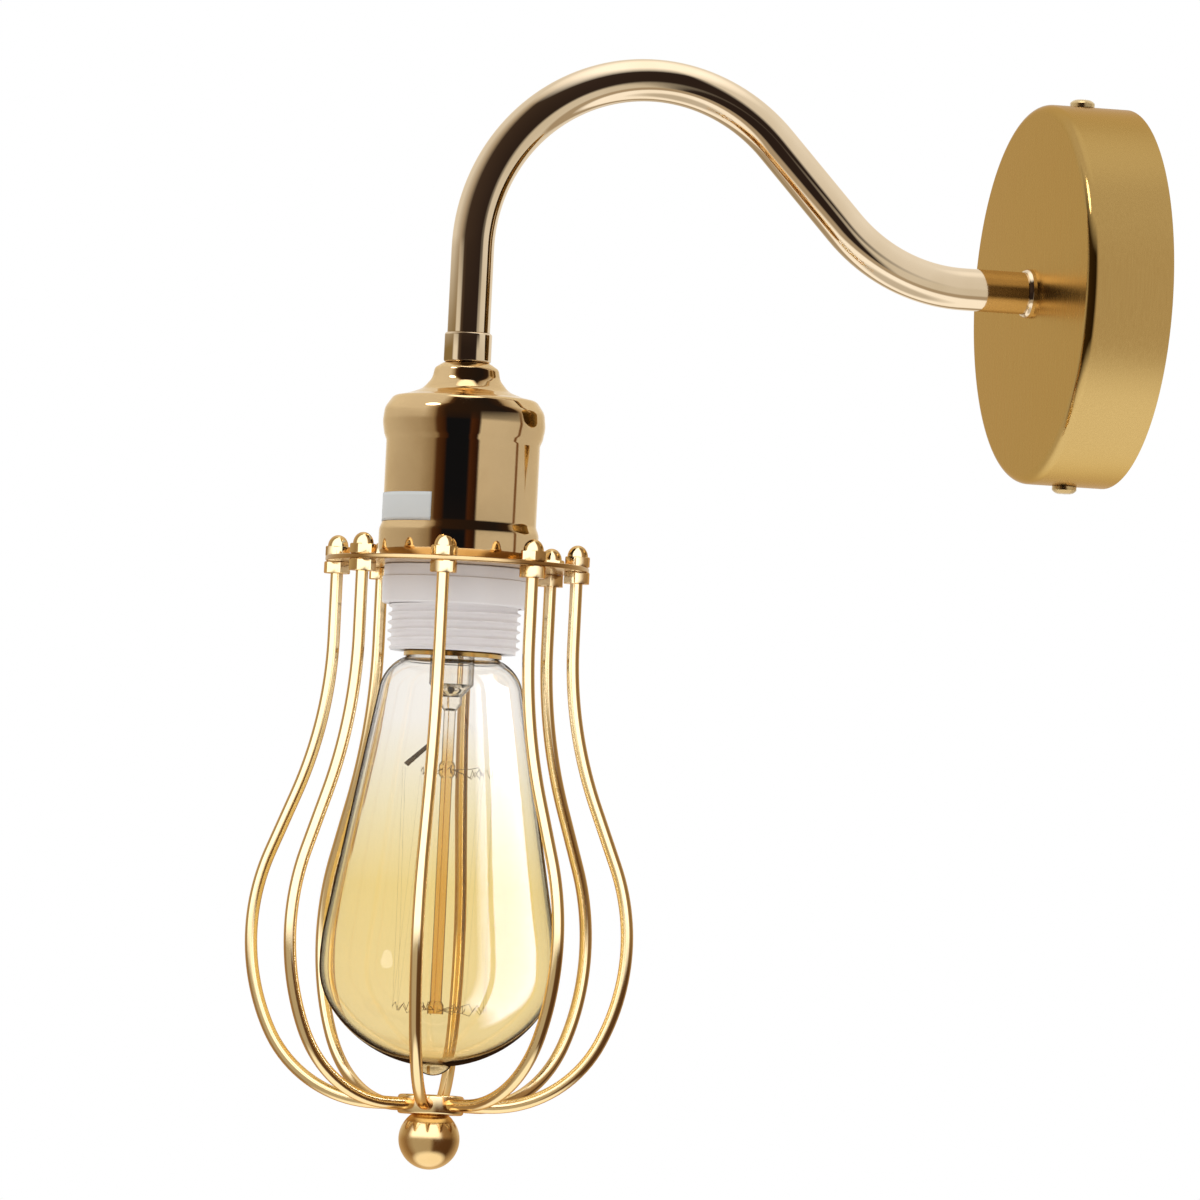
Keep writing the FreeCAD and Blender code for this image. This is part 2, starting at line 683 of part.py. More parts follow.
def make_arm_fastening():
    """Nipple, toothed washer and hexagon nut that clamp the arm to the canopy."""
    nipple = make_nipple("arm_nipple", "nipple_length")
    turn_to_wall(nipple, "canopy_depth - canopy_wall - lock_washer_thickness - lock_nut_thickness"
                         " - nipple_tail")
    bore = "entry_radius + screw_fit"
    washer = new_body("arm_lock_washer")
    revolve(washer, "washer", [
        (bore, "0"), ("lock_washer_radius", "0"), ("lock_washer_radius", "lock_washer_thickness"),
        (bore, "lock_washer_thickness")])
    turn_to_wall(washer, "canopy_depth - canopy_wall - seat_gap - lock_washer_thickness")
    nut = new_body("arm_lock_nut")
    sketch = new_sketch(nut, "hex", "XY_Plane")
    draw_hexagon(sketch, "0", "lock_nut_flats")
    draw_circle(sketch, "0", "0", bore)
    pad(nut, sketch, "lock_nut_thickness")
    turn_to_wall(nut, "canopy_depth - canopy_wall - 2 * seat_gap - lock_washer_thickness"
                      " - lock_nut_thickness")


def arm_corners(across):
    """Corner points of the arm's centreline, moved sideways."""
    reach = value("arm_reach")
    first = value("canopy_depth + root_run + root_bend * tan(arm_slope * 0.5 deg)")
    slope = math.radians(value("arm_slope"))
    return [VECTOR(across, -first, 0), VECTOR(across, -reach, (reach - first) * math.tan(slope))]


def make_lead(name, side):
    """Insulated lead from a block pole, through the arm, to a lampholder terminal."""
    small = value("lead_bend")
    across = side * value("lead_spread")
    pole = side * value("terminal_pitch")
    depth = value(POLE_DEPTH)
    reach = value("arm_reach")
    terminal = side * value("terminal_radius")
    nipple_start = value("canopy_depth - canopy_wall - lock_washer_thickness - lock_nut_thickness"
                         " - nipple_tail")
    neck_end = value(COVER_TOP + " - holder_neck_height - holder_wall") - small
    insert_top = value(INSERT_TOP)
    points = [VECTOR(pole, depth, -value("terminal_drop + terminal_entry")), VECTOR(pole, depth, 0),
              VECTOR(across, -nipple_start, 0)]
    points += arm_corners(across)
    points += [VECTOR(across, -reach, neck_end), VECTOR(terminal, -reach, insert_top + 2 * small),
               VECTOR(terminal, -reach, insert_top - value("insert_height") * 0.4)]
    bends = [small, small, value("root_bend"), value("crown_bend"), 2 * small, 2 * small]
    keep_shape(name, swept(points, bends, value("lead_radius")))


def make_earth_lead():
    """Short lead from the block's middle pole to the earth screw."""
    depth = value(POLE_DEPTH)
    base = -value("strap_thickness + 2 * seat_gap + earth_cup_thickness + lead_radius")
    height = value("earth_screw_height - earth_head_radius - seat_gap")
    small = value("lead_bend")
    points = [VECTOR(0, depth, -value("terminal_drop + terminal_entry")),
              VECTOR(0, depth, small * 0.75), VECTOR(0, base, small * 1.75),
              VECTOR(0, base, height)]
    keep_shape("earth_lead", swept(points, [small, small], value("lead_radius")))


# ---------------------------------------------------------------- lampholder

def make_neck_collar():
    """Turned coupling between the arm's end and the cover."""
    body = new_body("neck_collar")
    top = COLLAR_TOP + " - seat_gap"
    low = COVER_TOP + " + seat_gap"
    revolve(body, "collar", [
        ("entry_radius + screw_fit", low), ("collar_radius - edge_round", low),
        ("collar_radius", low + " + edge_round", "edge_round", 1), ("collar_radius", top + " - edge_round"),
        ("collar_radius - edge_round", top, "edge_round", 1), ("entry_radius + screw_fit", top)])
    put_on_lamp_axis(body)


def make_holder_nipple():
    """Nipple that joins the arm, the collar, the cover and the holder's cap."""
    body = make_nipple("holder_nipple", "neck_nipple_length")
    put_on_lamp_axis(body)
    body.setExpression("Placement.Base.z", bound(COVER_TOP + " - neck_nipple_seat"))


def make_cover():
    """Spun cover of the lampholder: small crown, wide bead, straight body and flared lip."""
    body = new_body("lampholder_cover")
    crown = COVER_TOP + " - cover_crown_height"
    brow = COVER_TOP + " - cover_brow_drop"
    bead = COVER_TOP + " - cover_bead_drop"
    waist = COVER_TOP + " - cover_waist_drop"
    lip = COVER_BOTTOM + " + cover_lip_height"
    bore = "entry_radius + screw_fit"
    flare = lip + " + cover_flare_height"
    revolve(body, "cover", [
        (bore, COVER_TOP), (bore, COVER_TOP + " - cover_wall"),
        ("cover_top_radius - 0.4 * cover_wall", COVER_TOP + " - cover_wall"),
        ("cover_crown_radius - cover_wall", crown + " - 0.4 * cover_wall", "cover_top_round", -1),
        ("cover_brow_radius - 0.75 * cover_wall", brow + " - cover_wall", "cover_cove_round + cover_wall", 1),
        ("cover_bead_radius - cover_wall", bead,
         round_to_vertical("cover_bead_radius - cover_brow_radius - 0.25 * cover_wall",
                           "cover_bead_drop - cover_brow_drop - cover_wall"), -1),
        ("cover_body_radius - cover_wall", waist, "cover_waist_round", -1),
        ("cover_body_radius - cover_wall", flare),
        ("cover_lip_radius - cover_wall", lip, "cover_flare_round", 1),
        ("cover_lip_radius - cover_wall", COVER_BOTTOM), ("cover_lip_radius", COVER_BOTTOM),
        ("cover_lip_radius", lip), ("cover_body_radius", flare, "cover_flare_round", -1),
        ("cover_body_radius", waist), ("cover_bead_radius", bead, "cover_waist_round", 1),
        ("cover_brow_radius", brow,
         round_to_vertical("cover_bead_radius - cover_brow_radius", "cover_bead_drop - cover_brow_drop"), 1),
        ("cover_crown_radius", crown, "cover_cove_round", -1),
        ("cover_top_radius", COVER_TOP, "cover_top_round", 1)])
    put_on_lamp_axis(body)


def make_holder_cap():
    """Moulded cap of the lampholder: threaded neck and domed shell."""
    body = new_body("holder_cap")
    top = COVER_TOP + " - cover_wall - face_gap"
    dome = top + " - holder_neck_height"
    brow = dome + " - holder_dome_round"
    bore = "entry_radius + screw_fit"
    revolve(body, "cap", [
        (bore, top), (bore, dome + " - holder_wall"),
        ("holder_radius - holder_dome_round", dome + " - holder_wall"),
        ("holder_radius - holder_wall", brow, "holder_dome_round - holder_wall", -1),
        ("holder_radius - holder_wall", SPLIT_LEVEL), ("holder_radius", SPLIT_LEVEL), ("holder_radius", brow),
        ("holder_radius - holder_dome_round", dome, "holder_dome_round", 1), ("holder_neck_radius", dome),
        ("holder_neck_radius", top)])
    put_on_lamp_axis(body)


def make_holder_skirt():
    """Moulded body of the lampholder: spigot, shoulder for the cage plate and threaded skirt."""
    body = new_body("holder_skirt")
    spigot = SPLIT_LEVEL + " + spigot_height"
    edge = SPLIT_LEVEL + " - seat_gap"
    foot = SHOULDER_BOTTOM + " - thread_length"
    bore = "insert_radius + screw_fit"
    mouth = "shell_radius + shell_wall + shell_clearance"
    tenon = "holder_radius - holder_wall - screw_fit"
    revolve(body, "skirt", [
        (bore, spigot), (bore, SHOULDER_BOTTOM), (mouth, SHOULDER_BOTTOM), (mouth, foot),
        ("thread_radius", foot), ("thread_radius", SHOULDER_BOTTOM), ("shoulder_radius", SHOULDER_BOTTOM),
        ("shoulder_radius", SHOULDER_TOP), ("holder_radius", SHOULDER_TOP), ("holder_radius", edge),
        (tenon, edge), (tenon, spigot)])
    put_on_lamp_axis(body)


def make_holder_insert():
    """Moulded insert on the skirt's ledge, with lead holes, screw bores and a contact recess."""
    body = new_body("holder_insert")
    foot = SHOULDER_BOTTOM + " + seat_gap"
    top = foot + " + insert_height"
    revolve(body, "block", [
        ("0", foot + " + recess_depth"), ("recess_radius", foot + " + recess_depth"), ("recess_radius", foot),
        ("insert_radius", foot), ("insert_radius", top), ("0", top)])
    holes = new_sketch(body, "lead_holes", "XY_Plane", INSERT_TOP)
    for side in ("-", ""):
        draw_circle(holes, side + "terminal_radius", "0", "lead_radius + screw_fit")
    pocket(body, holes, "insert_height * 0.45")
    screws = new_sketch(body, "screw_bores", "YZ_Plane")
    draw_circle(screws, "0", INSERT_TOP + " - clamp_screw_drop", "clamp_screw_radius + screw_fit")
    pocket_through(body, screws)
    put_on_lamp_axis(body)


def make_holder_terminal_screws():
    """Clamp screws that press sideways on the leads in the insert."""
    body = new_body("holder_terminal_screws")
    tip = "(terminal_radius + lead_radius + face_gap)"
    for name, place, backwards in (("plus", tip, False), ("minus", "-" + tip, True)):
        sketch = new_sketch(body, name, "YZ_Plane", place)
        draw_circle(sketch, "0", INSERT_TOP + " - clamp_screw_drop", "clamp_screw_radius")
        pad(body, sketch, "insert_radius - terminal_radius - lead_radius - 2 * face_gap", backwards=backwards)
    put_on_lamp_axis(body)


def make_contact_tongue():
    """Sprung brass tongue that meets the bulb's centre contact."""
    body = new_body("contact_tongue")
    sketch = new_sketch(body, "side", "XZ_Plane")
    roof = SHOULDER_BOTTOM + " + recess_depth"
    low = BULB_TOP + " + face_gap"
    hook = low + " + 2 * tongue_thickness"
    draw_outline(sketch, [
        ("-tongue_root", roof), ("-tongue_root", roof + " - tongue_thickness"),
        ("-tongue_root * 0.6", roof + " - tongue_thickness"), ("-tongue_root * 0.27", low),
        ("tongue_reach", low), ("tongue_reach * 1.2", hook), ("tongue_reach", hook),
        ("tongue_reach * 0.87", low + " + tongue_thickness"),
        ("-tongue_root * 0.22", low + " + tongue_thickness"), ("-tongue_root * 0.55", roof)])
    pad(body, sketch, "recess_radius * 0.8", midplane=True)
    put_on_lamp_axis(body)


def make_threaded_shell():
    """Screw shell of the lampholder with its flange under the insert."""
    body = new_body("threaded_shell")
    top = SHOULDER_BOTTOM
    outer = "shell_radius + shell_wall"
    foot = top + " - shell_length"
    revolve(body, "shell", [
        ("recess_radius", top), ("recess_radius", top + " - shell_wall"),
        ("shell_radius", top + " - shell_wall"), ("shell_radius", foot), (outer, foot), (outer, top)])
    put_on_lamp_axis(body)


# ---------------------------------------------------------------- shade ring and cage

def make_shade_ring():
    """Ring nut on the skirt's thread that holds the cage plate up."""
    body = new_body("shade_ring")
    bore = "thread_radius + 0.8 * screw_fit"
    top = PLATE_BOTTOM + " - face_gap"
    step = PLATE_BOTTOM + " - face_gap - ring_top_height"
    foot = PLATE_BOTTOM + " - face_gap - ring_height"
    revolve(body, "ring", [
        (bore, foot), ("ring_radius - ring_edge_round", foot),
        ("ring_radius", foot + " + ring_edge_round", "ring_edge_round", 1),
        ("ring_radius", step + " - ring_edge_round"),
        ("ring_radius - ring_edge_round", step, "ring_edge_round", 1),
        ("ring_top_radius", step), ("ring_top_radius", top), (bore, top)])
    put_on_lamp_axis(body)


def make_cage_plate():
    """Flat annulus on the skirt's shoulder with one hole for each wire."""
    body = new_body("cage_plate")
    sketch = new_sketch(body, "annulus", "XY_Plane", PLATE_BOTTOM)
    draw_circle(sketch, "0", "0", "plate_radius")
    draw_circle(sketch, "0", "0", "plate_bore")
    pad(body, sketch, "plate_thickness")
    hole = new_sketch(body, "wire_hole", "XY_Plane", PLATE_BOTTOM)
    draw_circle(hole, "bolt_radius", "0", "wire_radius + screw_fit")
    cut = pocket(body, hole, "plate_thickness", backwards=True)
    pattern_round(body, [cut])
    put_on_lamp_axis(body, FIRST_WIRE)


def make_cage_wire(index):
    """One wire of the balloon: straight top, waist bend, belly and foot into the hub."""
    body = new_body("cage_wire_%d" % (index + 1))
    path = new_sketch(body, "path", "XZ_Plane")
    top = PLATE_TOP + " + wire_tip_height"
    draw_path(path, "bolt_radius", top, -90, [
        ("run", WIRE_TOP_RUN), ("bend", "waist_bend", "waist_slope", 1), ("run", WIRE_WAIST_RUN),
        ("bend", "belly_bend", "waist_slope + belly_turn", -1),
        ("bend", "foot_bend", "90 - belly_turn", -1), ("run", WIRE_FOOT_RUN)])
    ring = new_sketch(body, "section", "XY_Plane", top)
    draw_circle(ring, "bolt_radius", "0", "wire_radius")
    pipe = body.newObject("PartDesign::AdditivePipe", body.Label + "_pipe")
    pipe.Profile = ring
    pipe.Spine = (path, [])
    put_on_lamp_axis(body, "180 / wire_count - 90 + %d * 360 / wire_count" % index)


def make_cage_cap_nuts():
    """Dome nuts above the plate, one on each wire's threaded tip."""
    body = new_body("cage_cap_nuts")
    seat = PLATE_TOP + " + seat_gap"
    hexes = new_sketch(body, "hex", "XY_Plane", seat)
    draw_hexagon(hexes, "bolt_radius", "cap_nut_flats")
    base = pad(body, hexes, "cap_nut_hex_height")
    crown = seat + " + cap_nut_hex_height"
    dome = new_sketch(body, "dome", "XZ_Plane")
    draw_outline(dome, [
        ("bolt_radius", crown), ("bolt_radius + cap_nut_dome", crown),
        ("bolt_radius + cap_nut_dome", crown + " + cap_nut_dome_rise"),
        ("bolt_radius", crown + " + cap_nut_dome_rise + cap_nut_dome", "cap_nut_dome", 1)])
    turned = body.newObject("PartDesign::Revolution", "cage_cap_nuts_dome_turned")
    turned.Profile = dome
    turned.ReferenceAxis = (dome, ["Edge1"])
    turned.Angle = 360
    bore = new_sketch(body, "bore", "XY_Plane", seat)
    draw_circle(bore, "bolt_radius", "0", "wire_radius + seat_gap")
    cut = pocket(body, bore, "wire_tip_height", backwards=True)
    pattern_round(body, [base, turned, cut])
    put_on_lamp_axis(body, FIRST_WIRE)


def make_cage_lock_nuts():
    """Hexagon nuts under the plate."""
    body = new_body("cage_lock_nuts")
    sketch = new_sketch(body, "hex", "XY_Plane", PLATE_BOTTOM + " - seat_gap")
    draw_hexagon(sketch, "bolt_radius", "lock_hex_flats")
    draw_circle(sketch, "bolt_radius", "0", "wire_radius + seat_gap")
    base = pad(body, sketch, "lock_hex_height", backwards=True)
    pattern_round(body, [base])
    put_on_lamp_axis(body, FIRST_WIRE)


def make_cage_hub():
    """Bottom disc whose radial sockets take the wires' feet."""
    body = new_body("cage_hub")
    low = HUB_LEVEL + " - hub_thickness / 2"
    top = HUB_LEVEL + " + hub_thickness / 2"
    revolve(body, "disc", [
        ("stud_radius + seat_gap", low), ("hub_radius - edge_round", low),
        ("hub_radius", low + " + edge_round", "edge_round", 1), ("hub_radius", top + " - edge_round"),
        ("hub_radius - edge_round", top, "edge_round", 1), ("stud_radius + seat_gap", top)])
    socket = new_sketch(body, "socket", "YZ_Plane", "hub_radius - hub_socket_depth")
    draw_circle(socket, "0", HUB_LEVEL, "wire_radius + seat_gap")
    cut = pocket(body, socket, "hub_socket_depth + edge_round", backwards=True)
    pattern_round(body, [cut])
    put_on_lamp_axis(body, FIRST_WIRE)


def make_finial():
    """Ball under the hub and the stud that holds it."""
    ball = new_body("ball_finial")
    flat = HUB_LEVEL + " - hub_thickness / 2 - seat_gap"
    centre = flat + " - ball_flat_height"
    well = flat + " - stud_length + hub_thickness - stud_well_spare"
    rim = "sqrt(ball_radius * ball_radius - ball_flat_height * ball_flat_height)"
    revolve(ball, "ball", [
        ("0", centre + " - ball_radius"), ("ball_radius", centre, "ball_radius", 1),
        (rim, flat, "ball_radius", 1), ("stud_radius + seat_gap", flat),
        ("stud_radius + seat_gap", well), ("0", well)])
    put_on_lamp_axis(ball)
    stud = new_body("finial_stud")
    sketch = new_sketch(stud, "shank", "XY_Plane", HUB_LEVEL + " + hub_thickness / 2")
    draw_circle(sketch, "0", "0", "stud_radius")
    pad(stud, sketch, "stud_length", backwards=True)
    put_on_lamp_axis(stud)


# ---------------------------------------------------------------- bulb

def make_bulb_glass():
    """Blown envelope: neck, long cone, round belly and a sealing pip underneath."""
    body = new_body("bulb_glass")
    neck = "bulb_cap_radius - bulb_cap_wall - seat_gap"
    shoulder = GLASS_TOP + " - glass_shoulder_drop"
    cone = GLASS_TOP + " - glass_cone_drop"
    inset = "(bulb_radius - glass_side_bend)"
    turn = "(glass_turn * 1 deg)"
    bottom = "(glass_side_bend + %s / cos%s)" % (inset, turn)
    belly = "(%s + %s - %s * tan%s)" % (GLASS_BOTTOM, bottom, inset, turn)
    side = "glass_side_round"
    pip = "%s + pip_radius * pip_radius / (2 * %s)" % (GLASS_BOTTOM, bottom)
    haunch = ("%s + glass_side_bend * cos%s" % (inset, turn), "%s - glass_side_bend * sin%s" % (belly, turn))
    inner = ("%s - glass_wall * cos%s" % (haunch[0], turn), "%s + glass_wall * sin%s" % (haunch[1], turn))
    revolve(body, "envelope", [
        (neck + " - glass_wall", NECK_TOP), (neck + " - glass_wall", GLASS_TOP),
        ("glass_shoulder_radius - glass_wall", shoulder, "glass_shoulder_round - glass_wall", -1),
        ("glass_cone_radius - glass_wall", cone), ("bulb_radius - glass_wall", belly, side, -1),
        (inner[0], inner[1], "glass_side_bend - glass_wall", -1),
        ("0", GLASS_BOTTOM + " + glass_wall", bottom + " - glass_wall", -1),
        ("0", GLASS_BOTTOM + " - pip_height"),
        ("pip_radius", pip, "pip_radius * 1.15", 1),
        (haunch[0], haunch[1], bottom, 1), ("bulb_radius", belly, "glass_side_bend", 1),
        ("glass_cone_radius", cone, side, 1), ("glass_shoulder_radius", shoulder),
        (neck, GLASS_TOP, "glass_shoulder_round", 1), (neck, NECK_TOP)])
    put_on_lamp_axis(body)


def make_bulb_cap():
    """Screw cap of the bulb with a flared rim."""
    body = new_body("bulb_cap")
    top = BULB_TOP + " - bulb_contact_height - bulb_insulator_height"
    inner = "bulb_cap_radius - bulb_cap_wall"
    hole = "bulb_cap_radius - bulb_cap_round - seat_gap"
    bead = "bulb_cap_rim - bulb_cap_wall"
    revolve(body, "cap", [
        (hole, top + " - bulb_cap_wall"),
        (inner, top + " - bulb_cap_round", "bulb_cap_round - bulb_cap_wall", -1),
        (inner, GLASS_TOP + " + 2 * bulb_cap_rim_height"), (bead, GLASS_TOP + " + bulb_cap_rim_height"),
        (bead, GLASS_TOP + " + seat_gap"), ("bulb_cap_rim", GLASS_TOP + " + seat_gap"),
        ("bulb_cap_rim", GLASS_TOP + " + bulb_cap_rim_height"),
        ("bulb_cap_radius", GLASS_TOP + " + 2 * bulb_cap_rim_height"),
        ("bulb_cap_radius", top + " - bulb_cap_round"), (hole, top, "bulb_cap_round + seat_gap", 1)])
    put_on_lamp_axis(body)


def make_bulb_tip():
    """Insulator and centre contact on the cap."""
    insulator = new_body("bulb_insulator")
    top = BULB_TOP + " - bulb_contact_height - seat_gap"
    foot = BULB_TOP + " - bulb_contact_height - bulb_insulator_height"
    rim = "bulb_cap_radius - bulb_cap_round - 2 * seat_gap"
    revolve(insulator, "cone", [
        ("0", foot + " - bulb_cap_wall"), (rim, foot + " - bulb_cap_wall"), (rim, foot + " + face_gap"),
        ("bulb_contact_radius + face_gap", top), ("0", top)])
    put_on_lamp_axis(insulator)
    contact = new_body("bulb_contact")
    revolve(contact, "disc", [
        ("0", BULB_TOP + " - bulb_contact_height"),
        ("bulb_contact_radius", BULB_TOP + " - bulb_contact_height"),
        ("bulb_contact_radius * 0.6", BULB_TOP, "bulb_contact_radius * 0.6", 1), ("0", BULB_TOP)])
    put_on_lamp_axis(contact)


def make_bulb_stem():
    """Glass stem: flare sealed in the neck, press, and a rod with a button at each ring of hooks."""
    body = new_body("bulb_stem")
    rim = "bulb_cap_radius - bulb_cap_wall - glass_wall - 2 * seat_gap"
    press = GLASS_TOP + " - stem_length"
    upper = GLASS_TOP + " - upper_hook_drop"
    lower = GLASS_TOP + " - rod_length"
    neck = GLASS_TOP + " - stem_length / 2"
    fold = "stem_radius - stem_wall"
    revolve(body, "stem", [
        ("0", lower + " - button_height / 2"), ("button_radius", lower + " - button_height / 2"),
        ("button_radius", lower + " + button_height / 2"), ("rod_radius", lower + " + button_height"),
        ("rod_radius", upper + " - button_height"), ("button_radius", upper + " - button_height / 2"),
        ("button_radius", upper + " + button_height / 2"), ("rod_radius", upper + " + button_height"),
        ("rod_radius", press), ("press_width", press + " + press_height / 2"),
        ("press_width", press + " + press_height"), ("stem_radius", neck),
        ("stem_radius", GLASS_TOP + " + stem_wall"),
        (rim, NECK_TOP + " - 2 * stem_wall", "stem_flare_round", 1),
        (rim, NECK_TOP + " - stem_wall"), (rim + " - stem_wall", NECK_TOP + " - stem_wall"),
        (fold, GLASS_TOP + " + stem_wall", "stem_flare_round", -1), (fold, neck),
        ("0", press + " + press_height + stem_wall")])
    put_on_lamp_axis(body)


def ring_point(reach, level, place):
    """A point of a ring of hooks; place counts pitches round from the room side."""
    angle = math.radians(-90 + 360 * place / (value("hook_count") + 2))
    return VECTOR(reach * math.cos(angle), reach * math.sin(angle), level)


def make_hooks(name, reach, level, places):
    """Fine wires that stand out of a button of the stem and carry the filament."""
    start = value("button_radius + seat_gap")
    hooks = []
    for place in places:
        inner = ring_point(start, level, place)
        outer = ring_point(reach, level, place)
        hooks.append(Part.makeCylinder(value("hook_radius"), reach - start, inner, outer - inner))
    put_on_lamp_axis(keep_shape(name, Part.Compound(hooks)))


def make_filament():
    """Zigzag filament between the two rings of hooks, with its two lead wires."""
    count = int(value("hook_count"))
    upper = value(GLASS_TOP + " - upper_hook_drop")
    lower = value(GLASS_TOP + " - rod_length")
    thick = value("filament_radius") + value("hook_radius") + value("seat_gap")
    make_hooks("bulb_upper_hooks", value("upper_hook_reach"), upper, range(1, count + 1))
    make_hooks("bulb_lower_hooks", value("lower_hook_reach"), lower, [n + 0.5 for n in range(count + 1)])
    bend = value("filament_radius") * 1.5
    half_pass = 1.4 * bend * (count + 2) / (2 * math.pi * value("upper_hook_reach"))
    points = []
    for place in range(2 * count + 3):
        reach = value("lower_hook_reach") if place % 2 else value("upper_hook_reach")
        level = lower - thick if place % 2 else upper + thick
        points.append(ring_point(reach, level, place / 2 - half_pass))
        points.append(ring_point(reach, level, place / 2 + half_pass))
    bends = [bend] * (len(points) - 2)
    put_on_lamp_axis(keep_shape("bulb_filament", swept(points, bends, value("filament_radius"))))
    leads = []
    press = value(GLASS_TOP + " - stem_length")
    for place in (0, count + 1):
        start = ring_point(value("press_width + lead_wire_radius"), press + value("press_height"), place)
        knee = ring_point(value("button_radius + rod_radius"), (press + upper) / 2, place)
        finish = ring_point(value("upper_hook_reach - filament_radius - lead_wire_radius"),
                            upper + 1.5 * thick, place)
        leads.append(swept([start, knee, finish], [value("lead_bend")], value("lead_wire_radius")))
    put_on_lamp_axis(keep_shape("bulb_lead_wires", Part.Compound(leads)))


# ---------------------------------------------------------------- build

make_canopy()
make_wall_bracket()
make_side_screw("side_screw_top", 0)
make_side_screw("side_screw_bottom", 180)
make_earth_screw()
make_terminal_block()
make_terminal_screws()
make_arm_tube()
make_arm_flange()
make_arm_fastening()
make_lead("live_lead", 1)
make_lead("neutral_lead", -1)
make_earth_lead()
make_neck_collar()
make_holder_nipple()
make_cover()
make_holder_cap()
make_holder_skirt()
make_holder_insert()
make_holder_terminal_screws()
make_contact_tongue()
make_threaded_shell()
make_shade_ring()
make_cage_plate()
for number in range(int(value("wire_count"))):
    make_cage_wire(number)
make_cage_cap_nuts()
make_cage_lock_nuts()
make_cage_hub()
make_finial()
make_bulb_glass()
make_bulb_cap()
make_bulb_tip()
make_bulb_stem()
make_filament()

doc.recompute()
failed = [thing.Name for thing in doc.Objects if "Invalid" in thing.State or "Error" in thing.State]
failed += [piece.Label for piece in PIECES if piece.Shape.isNull() or not piece.Shape.isValid()]
if failed:
    raise RuntimeError("failed to build: " + ", ".join(failed))

os.makedirs("parts", exist_ok=True)
for piece in PIECES:
    piece.Shape.exportStep("parts/" + piece.Label + ".step")
print(len(PIECES), "pieces written")
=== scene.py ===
import math

import bmesh
import bpy
from mathutils import Matrix, Vector


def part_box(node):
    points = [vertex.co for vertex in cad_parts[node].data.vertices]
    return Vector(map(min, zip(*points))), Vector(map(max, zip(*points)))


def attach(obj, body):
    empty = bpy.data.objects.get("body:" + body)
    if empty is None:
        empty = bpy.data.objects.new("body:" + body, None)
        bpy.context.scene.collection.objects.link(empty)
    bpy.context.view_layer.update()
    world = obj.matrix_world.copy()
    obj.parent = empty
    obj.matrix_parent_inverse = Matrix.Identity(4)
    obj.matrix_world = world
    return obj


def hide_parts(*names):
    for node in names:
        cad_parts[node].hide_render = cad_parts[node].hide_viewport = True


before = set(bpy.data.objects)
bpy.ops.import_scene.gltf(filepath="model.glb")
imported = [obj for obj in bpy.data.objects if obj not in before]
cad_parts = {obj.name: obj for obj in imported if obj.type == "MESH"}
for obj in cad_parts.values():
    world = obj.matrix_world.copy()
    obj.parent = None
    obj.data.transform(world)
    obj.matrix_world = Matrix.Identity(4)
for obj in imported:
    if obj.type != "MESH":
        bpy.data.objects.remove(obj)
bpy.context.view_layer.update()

MM = 0.001


# ---------------------------------------------------------------- places and sizes from the frame

def middle(node):
    """Centre of a CAD node's box."""
    low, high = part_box(node)
    return (low + high) / 2


def size(node):
    """Extents of a CAD node's box."""
    low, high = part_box(node)
    return high - low


# Places and sizes that the frame gives, then those of the CAD's profiles that its boxes do not show.
LAMP_Y = middle("ball_finial").y
CANOPY_RADIUS = size("canopy").z / 2
CANOPY_DEPTH = size("canopy").y
ARM_RADIUS = size("arm_tube").x / 2
ARM_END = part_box("arm_tube")[0].z
COVER_BOTTOM, COVER_TOP = (corner.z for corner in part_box("lampholder_cover"))
SKIRT_BOTTOM, SKIRT_TOP = (corner.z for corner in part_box("holder_skirt"))
RING_LOW, RING_HIGH = (corner.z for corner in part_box("shade_ring"))
PLATE_LOW, PLATE_HIGH = (corner.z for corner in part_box("cage_plate"))
PLATE_RADIUS = size("cage_plate").x / 2
HUB_LOW, HUB_HIGH = (corner.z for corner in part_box("cage_hub"))
HUB_RADIUS = size("cage_hub").x / 2
BALL_RADIUS = size("ball_finial").x / 2
BALL_BOTTOM, BALL_TOP = (corner.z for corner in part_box("ball_finial"))
BULB_RADIUS = size("bulb_glass").x / 2
BULB_BOTTOM, NECK_TOP = (corner.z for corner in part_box("bulb_glass"))
GLASS_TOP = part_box("bulb_cap")[0].z - 0.05 * MM

CANOPY_WALL = 1.0 * MM
CANOPY_ROUND = 3.0 * MM
NIPPLE_HOLE = 5.05 * MM
ARM_WALL = 1.0 * MM
ROOT_RUN = 20.0 * MM
ROOT_BEND = 50.0 * MM
CROWN_BEND = 51.0 * MM
ARM_SLOPE = math.radians(46.0)
COVER_WALL = 0.8 * MM
PLATE_BORE = 20.0 * MM
WIRE_COUNT = 8
WIRE_RADIUS = 1.75 * MM
BOLT_RADIUS = 33.9 * MM
WAIST_BEND = 123.0 * MM
WAIST_SLOPE = math.radians(21.5)
BELLY_BEND = 62.0 * MM
BELLY_TURN = math.radians(26.0)
BELLY_RADIUS = 53.1 * MM
FOOT_BEND = 34.5 * MM
FOOT_INSET = 2.75 * MM
GLASS_WALL = 0.7 * MM
PIP_HEIGHT = 2.5 * MM


# ---------------------------------------------------------------- mesh helpers

def finish_mesh(name, vertices, faces, sharp=35.0):
    """An object of those faces, smooth except at edges sharper than the angle."""
    mesh = bpy.data.meshes.new(name)
    mesh.from_pydata([tuple(vertex) for vertex in vertices], [], faces)
    work = bmesh.new()
    work.from_mesh(mesh)
    bmesh.ops.remove_doubles(work, verts=work.verts, dist=1e-6)
    bmesh.ops.recalc_face_normals(work, faces=work.faces)
    work.to_mesh(mesh)
    work.free()
    mesh.shade_smooth()
    mesh.set_sharp_from_angle(angle=math.radians(sharp))
    thing = bpy.data.objects.new(name, mesh)
    bpy.context.scene.collection.objects.link(thing)
    return thing


